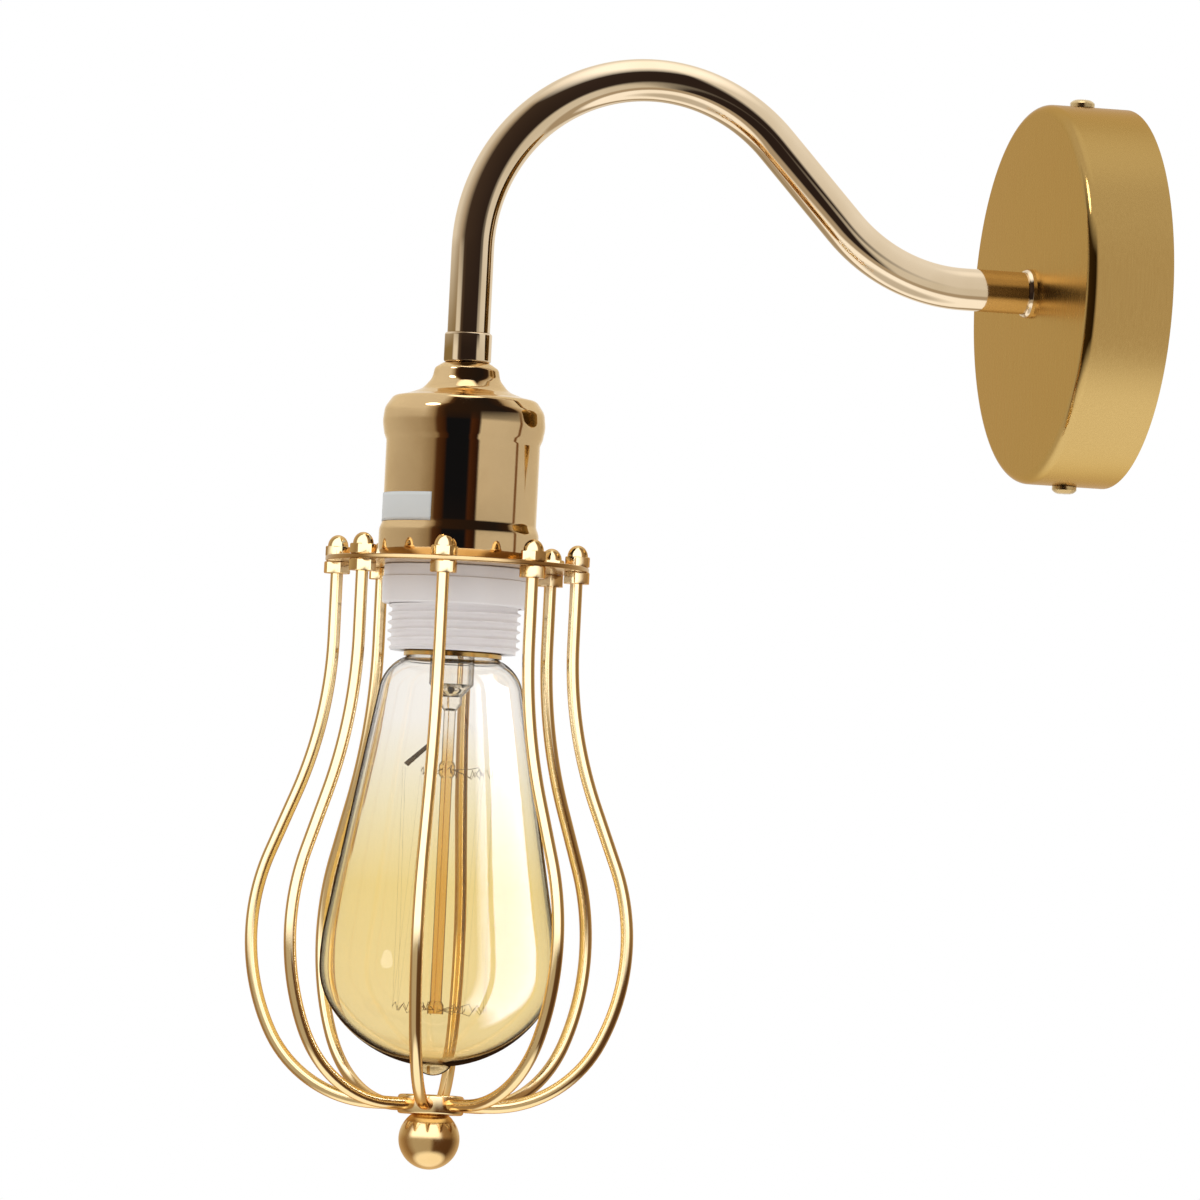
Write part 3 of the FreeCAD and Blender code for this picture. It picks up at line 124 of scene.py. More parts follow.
def quads(rows, columns, close_rows=False, close_columns=False, base=0):
    """Faces of a grid of vertices listed row by row; a closed direction joins its end to its start."""
    faces = []
    for row in range(rows if close_rows else rows - 1):
        here, onward = base + row * columns, base + (row + 1) % rows * columns
        for column in range(columns if close_columns else columns - 1):
            beside = (column + 1) % columns
            faces.append((here + column, onward + column, onward + beside, here + beside))
    return faces


def turned(spoke, angle):
    """A flat vector, turned by the angle."""
    return Vector((spoke.x * math.cos(angle) - spoke.y * math.sin(angle),
                   spoke.x * math.sin(angle) + spoke.y * math.cos(angle)))


def rounded(corners, steps=8):
    """A profile of (radius, height) or (radius, height, round): rounded corners become arcs."""
    points = []
    last = len(corners) - 1
    for index, corner in enumerate(corners):
        here = Vector((corner[0], corner[1]))
        if len(corner) < 3 or index in (0, last):
            points.append(here)
            continue
        before = Vector(corners[index - 1][:2]) - here
        after = Vector(corners[index + 1][:2]) - here
        turn = math.pi - before.angle(after)
        reach = min(corner[2] * math.tan(turn / 2), before.length * 0.49, after.length * 0.49)
        radius = reach / math.tan(turn / 2)
        before.normalize()
        after.normalize()
        centre = here + (before + after).normalized() * (radius / math.cos(turn / 2))
        start = here + before * reach - centre
        finish = here + after * reach - centre
        side = math.copysign(1.0, start.x * finish.y - start.y * finish.x)
        count = max(2, int(steps * turn / (math.pi / 2)) + 1)
        points += [centre + turned(start, side * turn * step / count) for step in range(count + 1)]
    return points


def arc(start, finish, radius, steps):
    """Points after start along the arc to finish that bulges away from the axis."""
    start, finish = Vector(start), Vector(finish)
    chord = finish - start
    outward = Vector((-chord.y, chord.x)).normalized()
    centre = (start + finish) / 2 - outward * math.sqrt(radius ** 2 - chord.length_squared / 4)
    spoke = start - centre
    span = -2 * math.asin(chord.length / 2 / radius)
    return [centre + turned(spoke, span * step / steps) for step in range(1, steps + 1)]


def lathe(name, profile, centre, segments=96, axis="Z", closed=False, sharp=35.0):
    """A turned piece: profile of (radius, height) points about the axis through centre."""
    vertices = []
    for turn in range(segments):
        angle = 2 * math.pi * turn / segments
        for radius, height in profile:
            across, along = radius * math.cos(angle), radius * math.sin(angle)
            place = Vector((across, along, height)) if axis == "Z" else Vector((across, -height, along))
            vertices.append(Vector(centre) + place)
    return finish_mesh(name, vertices, quads(segments, len(profile), True, closed), sharp)


def tube(name, points, radius, sides=32, bore=0.0):
    """A round bar or tube along the points, with flat ends."""
    rings = []
    normal = None
    for index, point in enumerate(points):
        ahead = points[min(index + 1, len(points) - 1)]
        behind = points[max(index - 1, 0)]
        forward = (ahead - behind).normalized()
        if normal is None:
            normal = forward.orthogonal().normalized()
        normal = (normal - forward * normal.dot(forward)).normalized()
        other = forward.cross(normal)
        ring = []
        for side in range(sides):
            angle = 2 * math.pi * side / sides
            ring.append(normal * math.cos(angle) + other * math.sin(angle))
        rings.append((point, ring))
    vertices = []
    faces = []
    for reach in ((radius, bore) if bore else (radius,)):
        faces += quads(len(points), sides, close_columns=True, base=len(vertices))
        for point, ring in rings:
            vertices.extend(point + spoke * reach for spoke in ring)
    last = (len(points) - 1) * sides
    if bore:
        inner = len(points) * sides
        for start in (0, last):
            for side in range(sides):
                onward = (side + 1) % sides
                faces.append((start + side, start + onward, inner + start + onward, inner + start + side))
    else:
        faces.append(tuple(range(sides)))
        faces.append(tuple(range(last, last + sides)))
    return finish_mesh(name, vertices, faces)


def trail(start, heading, steps, spacing=2.0 * MM):
    """Points of tangent runs and bends in a plane: ("run", length) or ("bend", radius, angle)."""
    place = Vector(start)
    points = [place.copy()]
    for step in steps:
        forward = Vector((math.cos(heading), math.sin(heading)))
        if step[0] == "run":
            place = place + forward * step[1]
            points.append(place.copy())
            continue
        radius, angle = step[1], step[2]
        side = math.copysign(1.0, angle)
        centre = place + Vector((-forward.y, forward.x)) * radius * side
        count = max(4, int(radius * abs(angle) / spacing))
        spoke = place - centre
        points += [centre + turned(spoke, angle * number / count) for number in range(1, count + 1)]
        place = points[-1].copy()
        heading += angle
    return points


def join(name, things):
    """One object of several meshes."""
    mesh = bpy.data.meshes.new(name)
    work = bmesh.new()
    for thing in things:
        part = thing.data.copy()
        part.transform(thing.matrix_world)
        work.from_mesh(part)
    work.to_mesh(mesh)
    work.free()
    for thing in things:
        bpy.data.objects.remove(thing)
    result = bpy.data.objects.new(name, mesh)
    bpy.context.scene.collection.objects.link(result)
    return result


def dress(piece, body, slot, material, *nodes):
    """Give the piece its body and material, and let it stand for CAD nodes; slot is not used."""
    piece.data.materials.clear()
    piece.data.materials.append(material)
    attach(piece, body)
    if nodes:
        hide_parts(*nodes)
    return piece


def paint(material, *nodes):
    """Give CAD nodes that stay a material."""
    for node in nodes:
        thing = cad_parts[node]
        thing.data.materials.clear()
        thing.data.materials.append(material)


# ---------------------------------------------------------------- materials

class Shader:
    """A material whose nodes are added one by one."""

    def __init__(self, name):
        self.material = bpy.data.materials.new(name)
        self.material.use_nodes = True
        self.nodes = self.material.node_tree.nodes
        self.links = self.material.node_tree.links
        self.surface = self.nodes["Principled BSDF"]
        self.place = self.nodes.new("ShaderNodeTexCoord").outputs["Object"]

    def set(self, **values):
        """Constants on the surface's own sockets."""
        for name, number in values.items():
            self.surface.inputs[name.replace("_", " ")].default_value = number

    def stretch(self, scale):
        """The place, scaled along its axes."""
        node = self.nodes.new("ShaderNodeMapping")
        node.inputs["Scale"].default_value = scale
        self.links.new(self.place, node.inputs["Vector"])
        return node.outputs["Vector"]

    def noise(self, scale, detail=4.0, roughness=0.5, place=None):
        """A noise value from 0 to 1."""
        node = self.nodes.new("ShaderNodeTexNoise")
        node.inputs["Scale"].default_value = scale
        node.inputs["Detail"].default_value = detail
        node.inputs["Roughness"].default_value = roughness
        self.links.new(place or self.place, node.inputs["Vector"])
        return node.outputs["Fac"]

    def ramp(self, value, stops):
        """A colour ramp over (position, colour) stops."""
        node = self.nodes.new("ShaderNodeValToRGB")
        elements = node.color_ramp.elements
        while len(elements) < len(stops):
            elements.new(0.5)
        for element, (position, colour) in zip(elements, stops):
            element.position = position
            element.color = (*colour, 1.0)
        self.links.new(value, node.inputs["Fac"])
        return node.outputs["Color"]

    def spread(self, value, low, high, start=0.3, end=0.7):
        """The value, mapped from start..end to low..high."""
        node = self.nodes.new("ShaderNodeMapRange")
        node.inputs["From Min"].default_value = start
        node.inputs["From Max"].default_value = end
        node.inputs["To Min"].default_value = low
        node.inputs["To Max"].default_value = high
        self.links.new(value, node.inputs["Value"])
        return node.outputs["Result"]

    def facing(self, blend):
        """0 where the surface faces the viewer, 1 at its rim."""
        node = self.nodes.new("ShaderNodeLayerWeight")
        node.inputs["Blend"].default_value = blend
        return node.outputs["Facing"]

    def blend(self, share, first, second):
        """The first colour where the share is 0, the second where it is 1."""
        node = self.nodes.new("ShaderNodeMix")
        node.data_type = "RGBA"
        self.links.new(share, node.inputs[0])
        self.links.new(first, node.inputs[6])
        self.links.new(second, node.inputs[7])
        return node.outputs[2]

    def height(self):
        """The Z coordinate of the place."""
        node = self.nodes.new("ShaderNodeSeparateXYZ")
        self.links.new(self.place, node.inputs["Vector"])
        return node.outputs["Z"]

    def bump(self, value, strength, distance):
        """Raise the surface by the value."""
        node = self.nodes.new("ShaderNodeBump")
        node.inputs["Strength"].default_value = strength
        node.inputs["Distance"].default_value = distance
        self.links.new(value, node.inputs["Height"])
        self.links.new(node.outputs["Normal"], self.surface.inputs["Normal"])

    def math(self, operation, first, second):
        """One sum of two values, either of which may be a plain number."""
        node = self.nodes.new("ShaderNodeMath")
        node.operation = operation
        for socket, value in zip(node.inputs, (first, second)):
            if isinstance(value, float):
                socket.default_value = value
            else:
                self.links.new(value, socket)
        return node.outputs["Value"]

    def dot(self, direction):
        """How far the place lies along a direction."""
        node = self.nodes.new("ShaderNodeVectorMath")
        node.operation = "DOT_PRODUCT"
        node.inputs[1].default_value = direction
        self.links.new(self.place, node.inputs[0])
        return node.outputs["Value"]

    def drive(self, socket, value):
        """Link a value or colour to a socket of the surface."""
        self.links.new(value, self.surface.inputs[socket])


def plated_metal(name, light, deep, rough_low, rough_high, wave=0.05, rim=(1.0, 1.0, 1.0)):
    """Polished plating: a slow drift of tone, faint smears and a barely uneven surface."""
    shader = Shader(name)
    shader.set(Metallic=1.0, Specular_Tint=(*rim, 1.0))
    drift = shader.noise(60.0, 3.0)
    shader.drive("Base Color", shader.ramp(drift, [(0.35, deep), (0.65, light)]))
    shader.drive("Roughness", shader.spread(shader.noise(220.0, 6.0), rough_low, rough_high))
    shader.bump(shader.noise(140.0, 2.0), wave, 0.05 * MM)
    return shader.material


def brushed_metal(name, light, deep, rough, rim):
    """Lacquered brushed brass: hair-fine upright strokes; the rolled front edge is left polished."""
    shader = Shader(name)
    shader.set(Metallic=1.0, Specular_Tint=(*rim, 1.0))
    strokes = shader.noise(2600.0, 5.0, 0.6, shader.stretch((1.0, 1.0, 0.03)))
    shader.drive("Base Color", shader.ramp(strokes, [(0.3, deep), (0.7, light)]))
    depth = shader.dot((0.0, -1.0, 0.0))
    start, full, fade, end = (CANOPY_DEPTH - share * CANOPY_ROUND for share in (1.0, 0.8, 0.1, 0.02))
    edge = shader.math("MULTIPLY", shader.spread(depth, 0.0, 1.0, start, full),
                       shader.spread(depth, 1.0, 0.0, fade, end))
    shader.drive("Roughness", shader.math("SUBTRACT", shader.spread(strokes, rough - 0.05, rough + 0.05),
                                          shader.math("MULTIPLY", edge, rough - 0.08)))
    shader.bump(strokes, 0.05, 0.01 * MM)
    return shader.material


def moulded_plastic(name, light, deep, rough, coat=0.0):
    """Moulded plastic: a slight mottle and a soft grain."""
    shader = Shader(name)
    shader.set(Coat_Weight=coat, Coat_Roughness=0.15, IOR=1.5)
    mottle = shader.noise(45.0, 4.0)
    shader.drive("Base Color", shader.ramp(mottle, [(0.3, deep), (0.7, light)]))
    shader.drive("Roughness", shader.spread(mottle, rough - 0.05, rough + 0.05))
    shader.bump(shader.noise(900.0, 2.0), 0.05, 0.02 * MM)
    return shader.material


def tinted_glass(name, stops, low, high, rim, painted_rim_band, absorbed, density):
    """Tinted glass between two heights: the stops are its tint from low to high; rim and band paint a dark
    outline, painted shade where the glass turns from the viewer, rim its colours low and high, band where it
    starts and is full; absorbed and density what the wall takes away.
    """
    shader = Shader(name)
    shader.set(Transmission_Weight=1.0, IOR=1.46)
    rise = shader.spread(shader.height(), 0.0, 1.0, low, high)
    tint = shader.ramp(rise, stops)
    # painted shade: edge is the colour of the dark outline painted where the glass turns from the viewer
    edge = shader.ramp(rise, [(0.0, rim[0]), (0.12, rim[0]), (0.3, rim[1]), (1.0, rim[1])])
    # painted shade: the painted dark outline widens towards the bottom of the glass
    painted_bottom_rim = shader.spread(rise, 0.12, 0.0, 0.02, 0.16)
    share = shader.spread(shader.math("ADD", shader.facing(0.5), painted_bottom_rim), 0.0, 1.0, *painted_rim_band)
    shader.drive("Base Color", shader.blend(share, tint, edge))
    shader.drive("Metallic", share)
    shader.drive("Roughness", shader.spread(shader.noise(90.0, 3.0), 0.0, 0.02))
    wall = shader.nodes.new("ShaderNodeVolumeAbsorption")
    wall.inputs["Color"].default_value = (*absorbed, 1.0)
    wall.inputs["Density"].default_value = density
    shader.links.new(wall.outputs["Volume"], shader.nodes["Material Output"].inputs["Volume"])
    return shader.material


GOLD = plated_metal(
    "polished_light_gold", (0.71, 0.51, 0.27), (0.66, 0.465, 0.24), 0.03, 0.07, 0.05, (0.95, 0.86, 0.70))
ARM_GOLD = plated_metal(
    "polished_pale_gold", (0.78, 0.64, 0.46), (0.73, 0.59, 0.41), 0.02, 0.05, 0.02, (0.95, 0.88, 0.78))
CAGE_GOLD = plated_metal(
    "polished_yellow_gold", (1.0, 0.80, 0.47), (0.96, 0.75, 0.42), 0.09, 0.15, 0.02, (0.72, 0.47, 0.25))
BALL_GOLD = plated_metal("polished_ball_gold", (0.92, 0.68, 0.35), (0.86, 0.60, 0.28), 0.12, 0.20)
PLATE_GOLD = plated_metal("plate_gold", (0.72, 0.50, 0.25), (0.60, 0.40, 0.18), 0.16, 0.26)
FACE_BRASS = brushed_metal("satin_brass", (0.56, 0.355, 0.12), (0.50, 0.31, 0.10), 0.25, (0.92, 0.72, 0.49))
SCREW_BRASS = plated_metal("screw_brass", (0.72, 0.54, 0.28), (0.60, 0.43, 0.20), 0.20, 0.30)
CAP_BRASS = plated_metal("cap_brass", (0.72, 0.47, 0.17), (0.58, 0.36, 0.11), 0.16, 0.26)
ZINC = plated_metal("zinc_plate", (0.75, 0.76, 0.78), (0.62, 0.63, 0.65), 0.25, 0.38)
SOLDER = plated_metal("solder", (0.66, 0.65, 0.63), (0.52, 0.51, 0.50), 0.30, 0.45)
DARK_WIRE = plated_metal("dark_wire", (0.20, 0.15, 0.12), (0.12, 0.09, 0.07), 0.35, 0.50)
FINE_WIRE = plated_metal("fine_wire", (0.36, 0.25, 0.16), (0.24, 0.16, 0.10), 0.35, 0.50)
WHITE = moulded_plastic("white_moulding", (0.89, 0.855, 0.855), (0.84, 0.80, 0.80), 0.38, 0.2)
CREAM = moulded_plastic("insert_moulding", (0.80, 0.78, 0.72), (0.74, 0.71, 0.64), 0.50)
CLEAR_WHITE = moulded_plastic("terminal_moulding", (0.84, 0.84, 0.82), (0.78, 0.78, 0.76), 0.45)
BLACK = moulded_plastic("insulator_black", (0.03, 0.03, 0.03), (0.02, 0.02, 0.02), 0.20, 0.3)
BROWN_SLEEVE = moulded_plastic("brown_sleeve", (0.20, 0.09, 0.04), (0.16, 0.07, 0.03), 0.45)
BLUE_SLEEVE = moulded_plastic("blue_sleeve", (0.06, 0.18, 0.50), (0.05, 0.14, 0.42), 0.45)
GREEN_SLEEVE = moulded_plastic("green_sleeve", (0.30, 0.55, 0.08), (0.22, 0.45, 0.06), 0.45)
LABEL = moulded_plastic("blank_label", (0.58, 0.59, 0.58), (0.53, 0.54, 0.53), 0.42)
AMBER_GLASS = tinted_glass(
    "amber_glass",
    [(0.0, (0.90, 0.74, 0.44)), (0.10, (0.96, 0.85, 0.58)), (0.45, (0.955, 0.84, 0.53)),
     (0.64, (0.97, 0.91, 0.73)), (0.85, (0.995, 0.975, 0.945)), (1.0, (1.0, 0.985, 0.965))],
    # rim and band: painted shade, a dark outline at the glass's edge
    low=BULB_BOTTOM, high=GLASS_TOP, rim=((0.06, 0.022, 0.008), (0.055, 0.045, 0.035)),
    painted_rim_band=(0.75, 0.86), absorbed=(0.74, 0.66, 0.52), density=110.0)
STEM_GLASS = tinted_glass(
    "stem_glass",
    [(0.0, (0.80, 0.53, 0.20)), (0.72, (0.84, 0.60, 0.28)), (0.80, (0.95, 0.92, 0.86)),
     (1.0, (0.97, 0.96, 0.94))],
    # rim and band: painted shade, a dark outline at the stem's edge
    low=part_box("bulb_stem")[0].z, high=GLASS_TOP, rim=((0.13, 0.055, 0.015), (0.14, 0.11, 0.08)),
    painted_rim_band=(0.35, 0.68), absorbed=(0.9, 0.75, 0.5), density=40.0)


# ---------------------------------------------------------------- canopy and arm

def make_canopy():
    """Spun cup with a rolled front edge."""
    outer, depth, wall = CANOPY_RADIUS, CANOPY_DEPTH, CANOPY_WALL
    profile = rounded([
        (NIPPLE_HOLE, depth - wall), (outer - wall, depth - wall, CANOPY_ROUND - wall), (outer - wall, 0.0),
        (outer, 0.0), (outer, depth, CANOPY_ROUND), (NIPPLE_HOLE, depth)], 12)
    cup = lathe("canopy_shell", profile, (0, 0, 0), 160, "Y", closed=True)
    dress(cup, "fixture", "canopy_brass", FACE_BRASS, "canopy")


def arm_points():
    """Centreline of the arm from the canopy's front to its lower end."""
    straight = (-LAMP_Y - CANOPY_DEPTH - ROOT_RUN - ROOT_BEND * math.sin(ARM_SLOPE)
                - CROWN_BEND * (1 + math.sin(ARM_SLOPE))) / math.cos(ARM_SLOPE)
    crown = (ROOT_BEND * (1 - math.cos(ARM_SLOPE)) + straight * math.sin(ARM_SLOPE)
             - CROWN_BEND * math.cos(ARM_SLOPE))
    flat = trail((-CANOPY_DEPTH, 0.0), math.pi, [
        ("run", ROOT_RUN), ("bend", ROOT_BEND, -ARM_SLOPE), ("run", straight),
        ("bend", CROWN_BEND, ARM_SLOPE + math.pi / 2), ("run", crown - ARM_END)])
    return [Vector((0.0, point.x, point.y)) for point in flat]


def make_arm():
    """Bent tube, its root ring and the turned neck collar."""
    bar = tube("swan_neck", arm_points(), ARM_RADIUS, 48, ARM_RADIUS - ARM_WALL)
    dress(bar, "fixture", "arm_brass", ARM_GOLD, "arm_tube")
    low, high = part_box("neck_collar")
    radius, edge = (high.x - low.x) / 2, 0.8 * MM
    profile = rounded([
        (NIPPLE_HOLE, low.z), (radius, low.z, edge), (radius, high.z, edge), (NIPPLE_HOLE, high.z)], 8)
    collar = lathe("neck_coupling", profile, (0, LAMP_Y, 0), 96, closed=True)
    dress(collar, "fixture", "arm_brass", ARM_GOLD, "neck_collar")
    paint(ARM_GOLD, "arm_flange")


# ---------------------------------------------------------------- lampholder

def make_cover():
    """Spun cover: small crown, bell-shaped brow, rolled bead, straight body and flared lip."""
    # Radius, height and rounding of each corner in millimetres, heights from the top and then from the lip.
    upper = [
        (5.05, 0.0), (6.6, 0.0, 2.0), (9.0, -1.6, 1.6), (9.6, -4.6, 4.0), (12.2, -7.7, 5.0),
        (16.8, -9.3, 6.0), (20.2, -10.0, 2.4), (22.5, -13.4, 4.0), (22.95, -17.4, 7.0),
        (22.35, -20.9, 3.5), (21.65, -22.6, 1.6)]
    lower = [(21.65, 10.4, 2.5), (22.5, 8.2, 3.0), (22.5, 2.2, 3.0), (21.2, 0.0, 1.0)]
    profile = [(radius * MM, base + height * MM, *(rounding * MM for rounding in more))
               for base, corners in ((COVER_TOP, upper), (COVER_BOTTOM, lower))
               for radius, height, *more in corners]
    skin = rounded(profile + [(profile[-1][0] - COVER_WALL, COVER_BOTTOM)], 10)
    inside = [(radius - COVER_WALL, height) for radius, height in reversed(skin)
              if COVER_BOTTOM < height < COVER_TOP - 2 * COVER_WALL]
    inside.append((NIPPLE_HOLE, COVER_TOP - COVER_WALL))
    shell = lathe("spun_cover", skin + inside, (0, LAMP_Y, 0), 128, closed=True, sharp=50)
    dress(shell, "fixture", "cover_brass", GOLD, "lampholder_cover")


def make_label():
    """Blank paper label wrapped round the camera-side left of the cover."""
    low, high, radius = COVER_BOTTOM + 10.2 * MM, COVER_BOTTOM + 18.2 * MM, 21.72 * MM
    start, finish = CAMERA_AZIMUTH - math.radians(112), CAMERA_AZIMUTH - math.radians(21.5)
    across, upward = 48, 8
    lip, flare = 10.4 * MM, 0.25
    vertices = []
    for column in range(across + 1):
        angle = start + (finish - start) * column / across
        for row in range(upward + 1):
            height = low + (high - low) * row / upward
            reach = radius + max(0.0, lip + COVER_BOTTOM - height) * flare
            vertices.append((reach * math.sin(angle), LAMP_Y - reach * math.cos(angle), height))
    label = finish_mesh("blank_label", vertices, quads(across + 1, upward + 1))
    thickness = label.modifiers.new("thickness", "SOLIDIFY")
    thickness.thickness = 0.12 * MM
    thickness.offset = 1.0
    dress(label, "fixture", "white_plastic", LABEL)


def make_skirt():
    """Lampholder body with the external thread that the shade ring runs on."""
    crest, root, pitch = 18.7 * MM, 17.6 * MM, 2.4 * MM
    flat, flank = 1.25, 4.4
    mouth, bore, spigot, body, flange = (radius * MM for radius in (14.6, 16.0, 17.5, 19.4, 21.2))
    low, shoulder, split = SKIRT_BOTTOM, PLATE_HIGH + 0.1 * MM, SKIRT_TOP - 4.05 * MM
    thread_top = shoulder - 0.6 * MM
    flange_top = shoulder + 1.7 * MM
    turns, rows = 128, 96
    vertices = []
    for row in range(rows + 1):
        height = low + (thread_top - low) * row / rows
        fade = min(1.0, (height - low) / (0.5 * pitch))
        for turn in range(turns):
            angle = 2 * math.pi * turn / turns
            phase = ((height - low) / pitch - turn / turns) % 1.0
            rise = min(1.0, max(0.0, flat - flank * abs(phase - 0.5)))
            radius = root + (crest - root) * rise * fade
            vertices.append((radius * math.cos(angle), LAMP_Y + radius * math.sin(angle), height))
    thread = finish_mesh("skirt_thread", vertices, quads(rows + 1, turns, close_columns=True), 60)
    profile = rounded([
        (crest - 0.4 * MM, thread_top - 0.2 * MM), (crest, shoulder), (flange, shoulder),
        (flange, flange_top, 0.4 * MM), (body, flange_top), (body, split), (spigot, split),
        (spigot, SKIRT_TOP), (bore, SKIRT_TOP), (bore, shoulder), (mouth, shoulder),
        (mouth, low, 0.5 * MM), (root, low)], 6)
    body = lathe("skirt_body", profile, (0, LAMP_Y, 0), 128)
    dress(join("threaded_skirt", [thread, body]), "fixture", "white_plastic", WHITE, "holder_skirt")


def make_shade_ring():
    """Two-tier ring nut with faint grip lines."""
    low, high, step = RING_LOW, RING_HIGH, RING_HIGH - 3.4 * MM
    bore, foot, brim, tier = (radius * MM for radius in (18.78, 20.6, 20.8, 20.4))
    outline = rounded([
        (bore, low), (foot, low, 0.7 * MM), (brim, step, 0.6 * MM), (tier, step), (tier, high, 0.3 * MM),
        (bore, high)], 5)
    segments, grips = 240, 24
    grip_depth, grip_reach = 0.12 * MM, 20.2 * MM
    vertices = []
    for turn in range(segments):
        angle = 2 * math.pi * turn / segments
        groove = grip_depth if turn % (segments // grips) == 0 else 0.0
        for radius, height in outline:
            reach = radius - (groove if radius > grip_reach and low + MM < height < step - MM else 0.0)
            vertices.append((reach * math.cos(angle), LAMP_Y + reach * math.sin(angle), height))
    ring = finish_mesh("ring_nut", vertices, quads(segments, len(outline), True, True), 40)
    dress(ring, "ring", "white_plastic", WHITE, "shade_ring")


# ---------------------------------------------------------------- cage

def wire_angle(index):
    """Direction of one wire about the lamp axis."""
    return math.radians(180 / WIRE_COUNT - 90 + 360 * index / WIRE_COUNT)


def wire_points(index):
    """Centreline of one wire from its threaded tip to its foot in the hub."""
    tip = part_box("cage_wire_%d" % (index + 1))[1].z
    hub = (HUB_LOW + HUB_HIGH) / 2
    waist = ((BELLY_RADIUS - BOLT_RADIUS - (WAIST_BEND + BELLY_BEND) * (1 - math.cos(WAIST_SLOPE)))
             / math.sin(WAIST_SLOPE))
    foot = (BELLY_RADIUS - HUB_RADIUS + FOOT_INSET - BELLY_BEND * (1 - math.cos(BELLY_TURN))
            - FOOT_BEND * math.cos(BELLY_TURN))
    top = (tip - hub - WAIST_BEND * math.sin(WAIST_SLOPE) - waist * math.cos(WAIST_SLOPE)
           - BELLY_BEND * (math.sin(WAIST_SLOPE) + math.sin(BELLY_TURN))
           - FOOT_BEND * (1 - math.sin(BELLY_TURN)))
    flat = trail((BOLT_RADIUS, tip), -math.pi / 2, [
        ("run", top), ("bend", WAIST_BEND, WAIST_SLOPE), ("run", waist),
        ("bend", BELLY_BEND, -WAIST_SLOPE - BELLY_TURN),
        ("bend", FOOT_BEND, BELLY_TURN - math.pi / 2), ("run", foot)])
    angle = wire_angle(index)
    return [Vector((point.x * math.cos(angle), LAMP_Y + point.x * math.sin(angle), point.y))
            for point in flat]


def hexagon_prism(name, centre, flats, low, high, turn, chamfer):
    """A hexagon block with rounded-off corners at both ends."""
    points = 24
    corner_reach = flats / math.sqrt(3) * 0.985
    levels = [(low, chamfer), (low + chamfer * 0.6, 0.0), (high - chamfer * 0.6, 0.0), (high, chamfer)]
    vertices = []
    for height, cut in levels:
        for number in range(points):
            angle = 2 * math.pi * number / points
            local = (angle + math.pi / 6) % (math.pi / 3) - math.pi / 6
            reach = min(flats / 2 / math.cos(local), corner_reach, flats / 2 * 1.10 - cut)
            vertices.append((centre[0] + reach * math.cos(angle + turn),
                             centre[1] + reach * math.sin(angle + turn), height))
    ends = [tuple(range(points)), tuple(range(3 * points, 4 * points))]
    return finish_mesh(name, vertices, quads(len(levels), points, close_columns=True) + ends, 25)


def make_cage():
    """Wires, the plate they hang from and the hub that gathers them."""
    for index in range(WIRE_COUNT):
        node = "cage_wire_%d" % (index + 1)
        wire = tube(node + "_bar", wire_points(index), WIRE_RADIUS, 32)
        dress(wire, "cage", "cage_brass", CAGE_GOLD, node)
    make_nuts()
    edge = 0.4 * MM
    plate = rounded([
        (PLATE_BORE, PLATE_LOW), (PLATE_RADIUS, PLATE_LOW, edge), (PLATE_RADIUS, PLATE_HIGH, edge),
        (PLATE_BORE, PLATE_HIGH)], 5)
    plate = lathe("plate_ring", plate, (0, LAMP_Y, 0), 160, closed=True)
    dress(plate, "cage", "cage_brass", PLATE_GOLD, "cage_plate")
    edge = 0.9 * MM
    hub = rounded([
        (0.0, HUB_LOW), (HUB_RADIUS, HUB_LOW, edge), (HUB_RADIUS, HUB_HIGH, edge), (0.0, HUB_HIGH)], 8)
    hub = lathe("hub_disc", hub, (0, LAMP_Y, 0), 96)
    dress(hub, "cage", "cage_brass", CAGE_GOLD, "cage_hub", "finial_stud")
    make_ball()


def make_nuts():
    """A dome nut and a hexagon nut on every wire, one on each side of the plate."""
    seat, crown = (corner.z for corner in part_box("cage_cap_nuts"))
    low, high = (corner.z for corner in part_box("cage_lock_nuts"))
    waist = seat + 2.8 * MM
    dome_radius, dome_flats, nut_flats, chamfer = (width * MM for width in (2.9, 6.8, 7.0, 0.35))
    dome = [(dome_radius * math.cos(rise), waist + (crown - waist) * math.sin(rise))
            for rise in map(math.radians, range(0, 91, 10))]
    domes = []
    hexes = []
    for index in range(WIRE_COUNT):
        angle = wire_angle(index)
        centre = (BOLT_RADIUS * math.cos(angle), LAMP_Y + BOLT_RADIUS * math.sin(angle))
        domes.append(hexagon_prism("base", centre, dome_flats, seat, waist, angle, chamfer))
        domes.append(lathe("dome", dome, (*centre, 0), 32))
        tightened = angle + 0.35 * (index % 3)
        hexes.append(hexagon_prism("nut", centre, nut_flats, low, high, tightened, chamfer))
    dress(join("dome_nuts", domes), "cage", "cage_brass", CAGE_GOLD, "cage_cap_nuts")
    dress(join("hex_nuts", hexes), "cage", "cage_brass", CAGE_GOLD, "cage_lock_nuts")


def make_ball():
    """Finial ball, flat on top where it meets its stud."""
    centre = BALL_BOTTOM + BALL_RADIUS
    start = math.acos((BALL_TOP - centre) / BALL_RADIUS)
    steps = 48
    profile = [(0.0, BALL_TOP)]
    for step in range(steps + 1):
        angle = start + (math.pi - start) * step / steps
        profile.append((BALL_RADIUS * math.sin(angle), centre + BALL_RADIUS * math.cos(angle)))
    dress(lathe("finial_ball", profile, (0, LAMP_Y, 0), 96), "cage", "cage_brass", BALL_GOLD, "ball_finial")


# ---------------------------------------------------------------- bulb

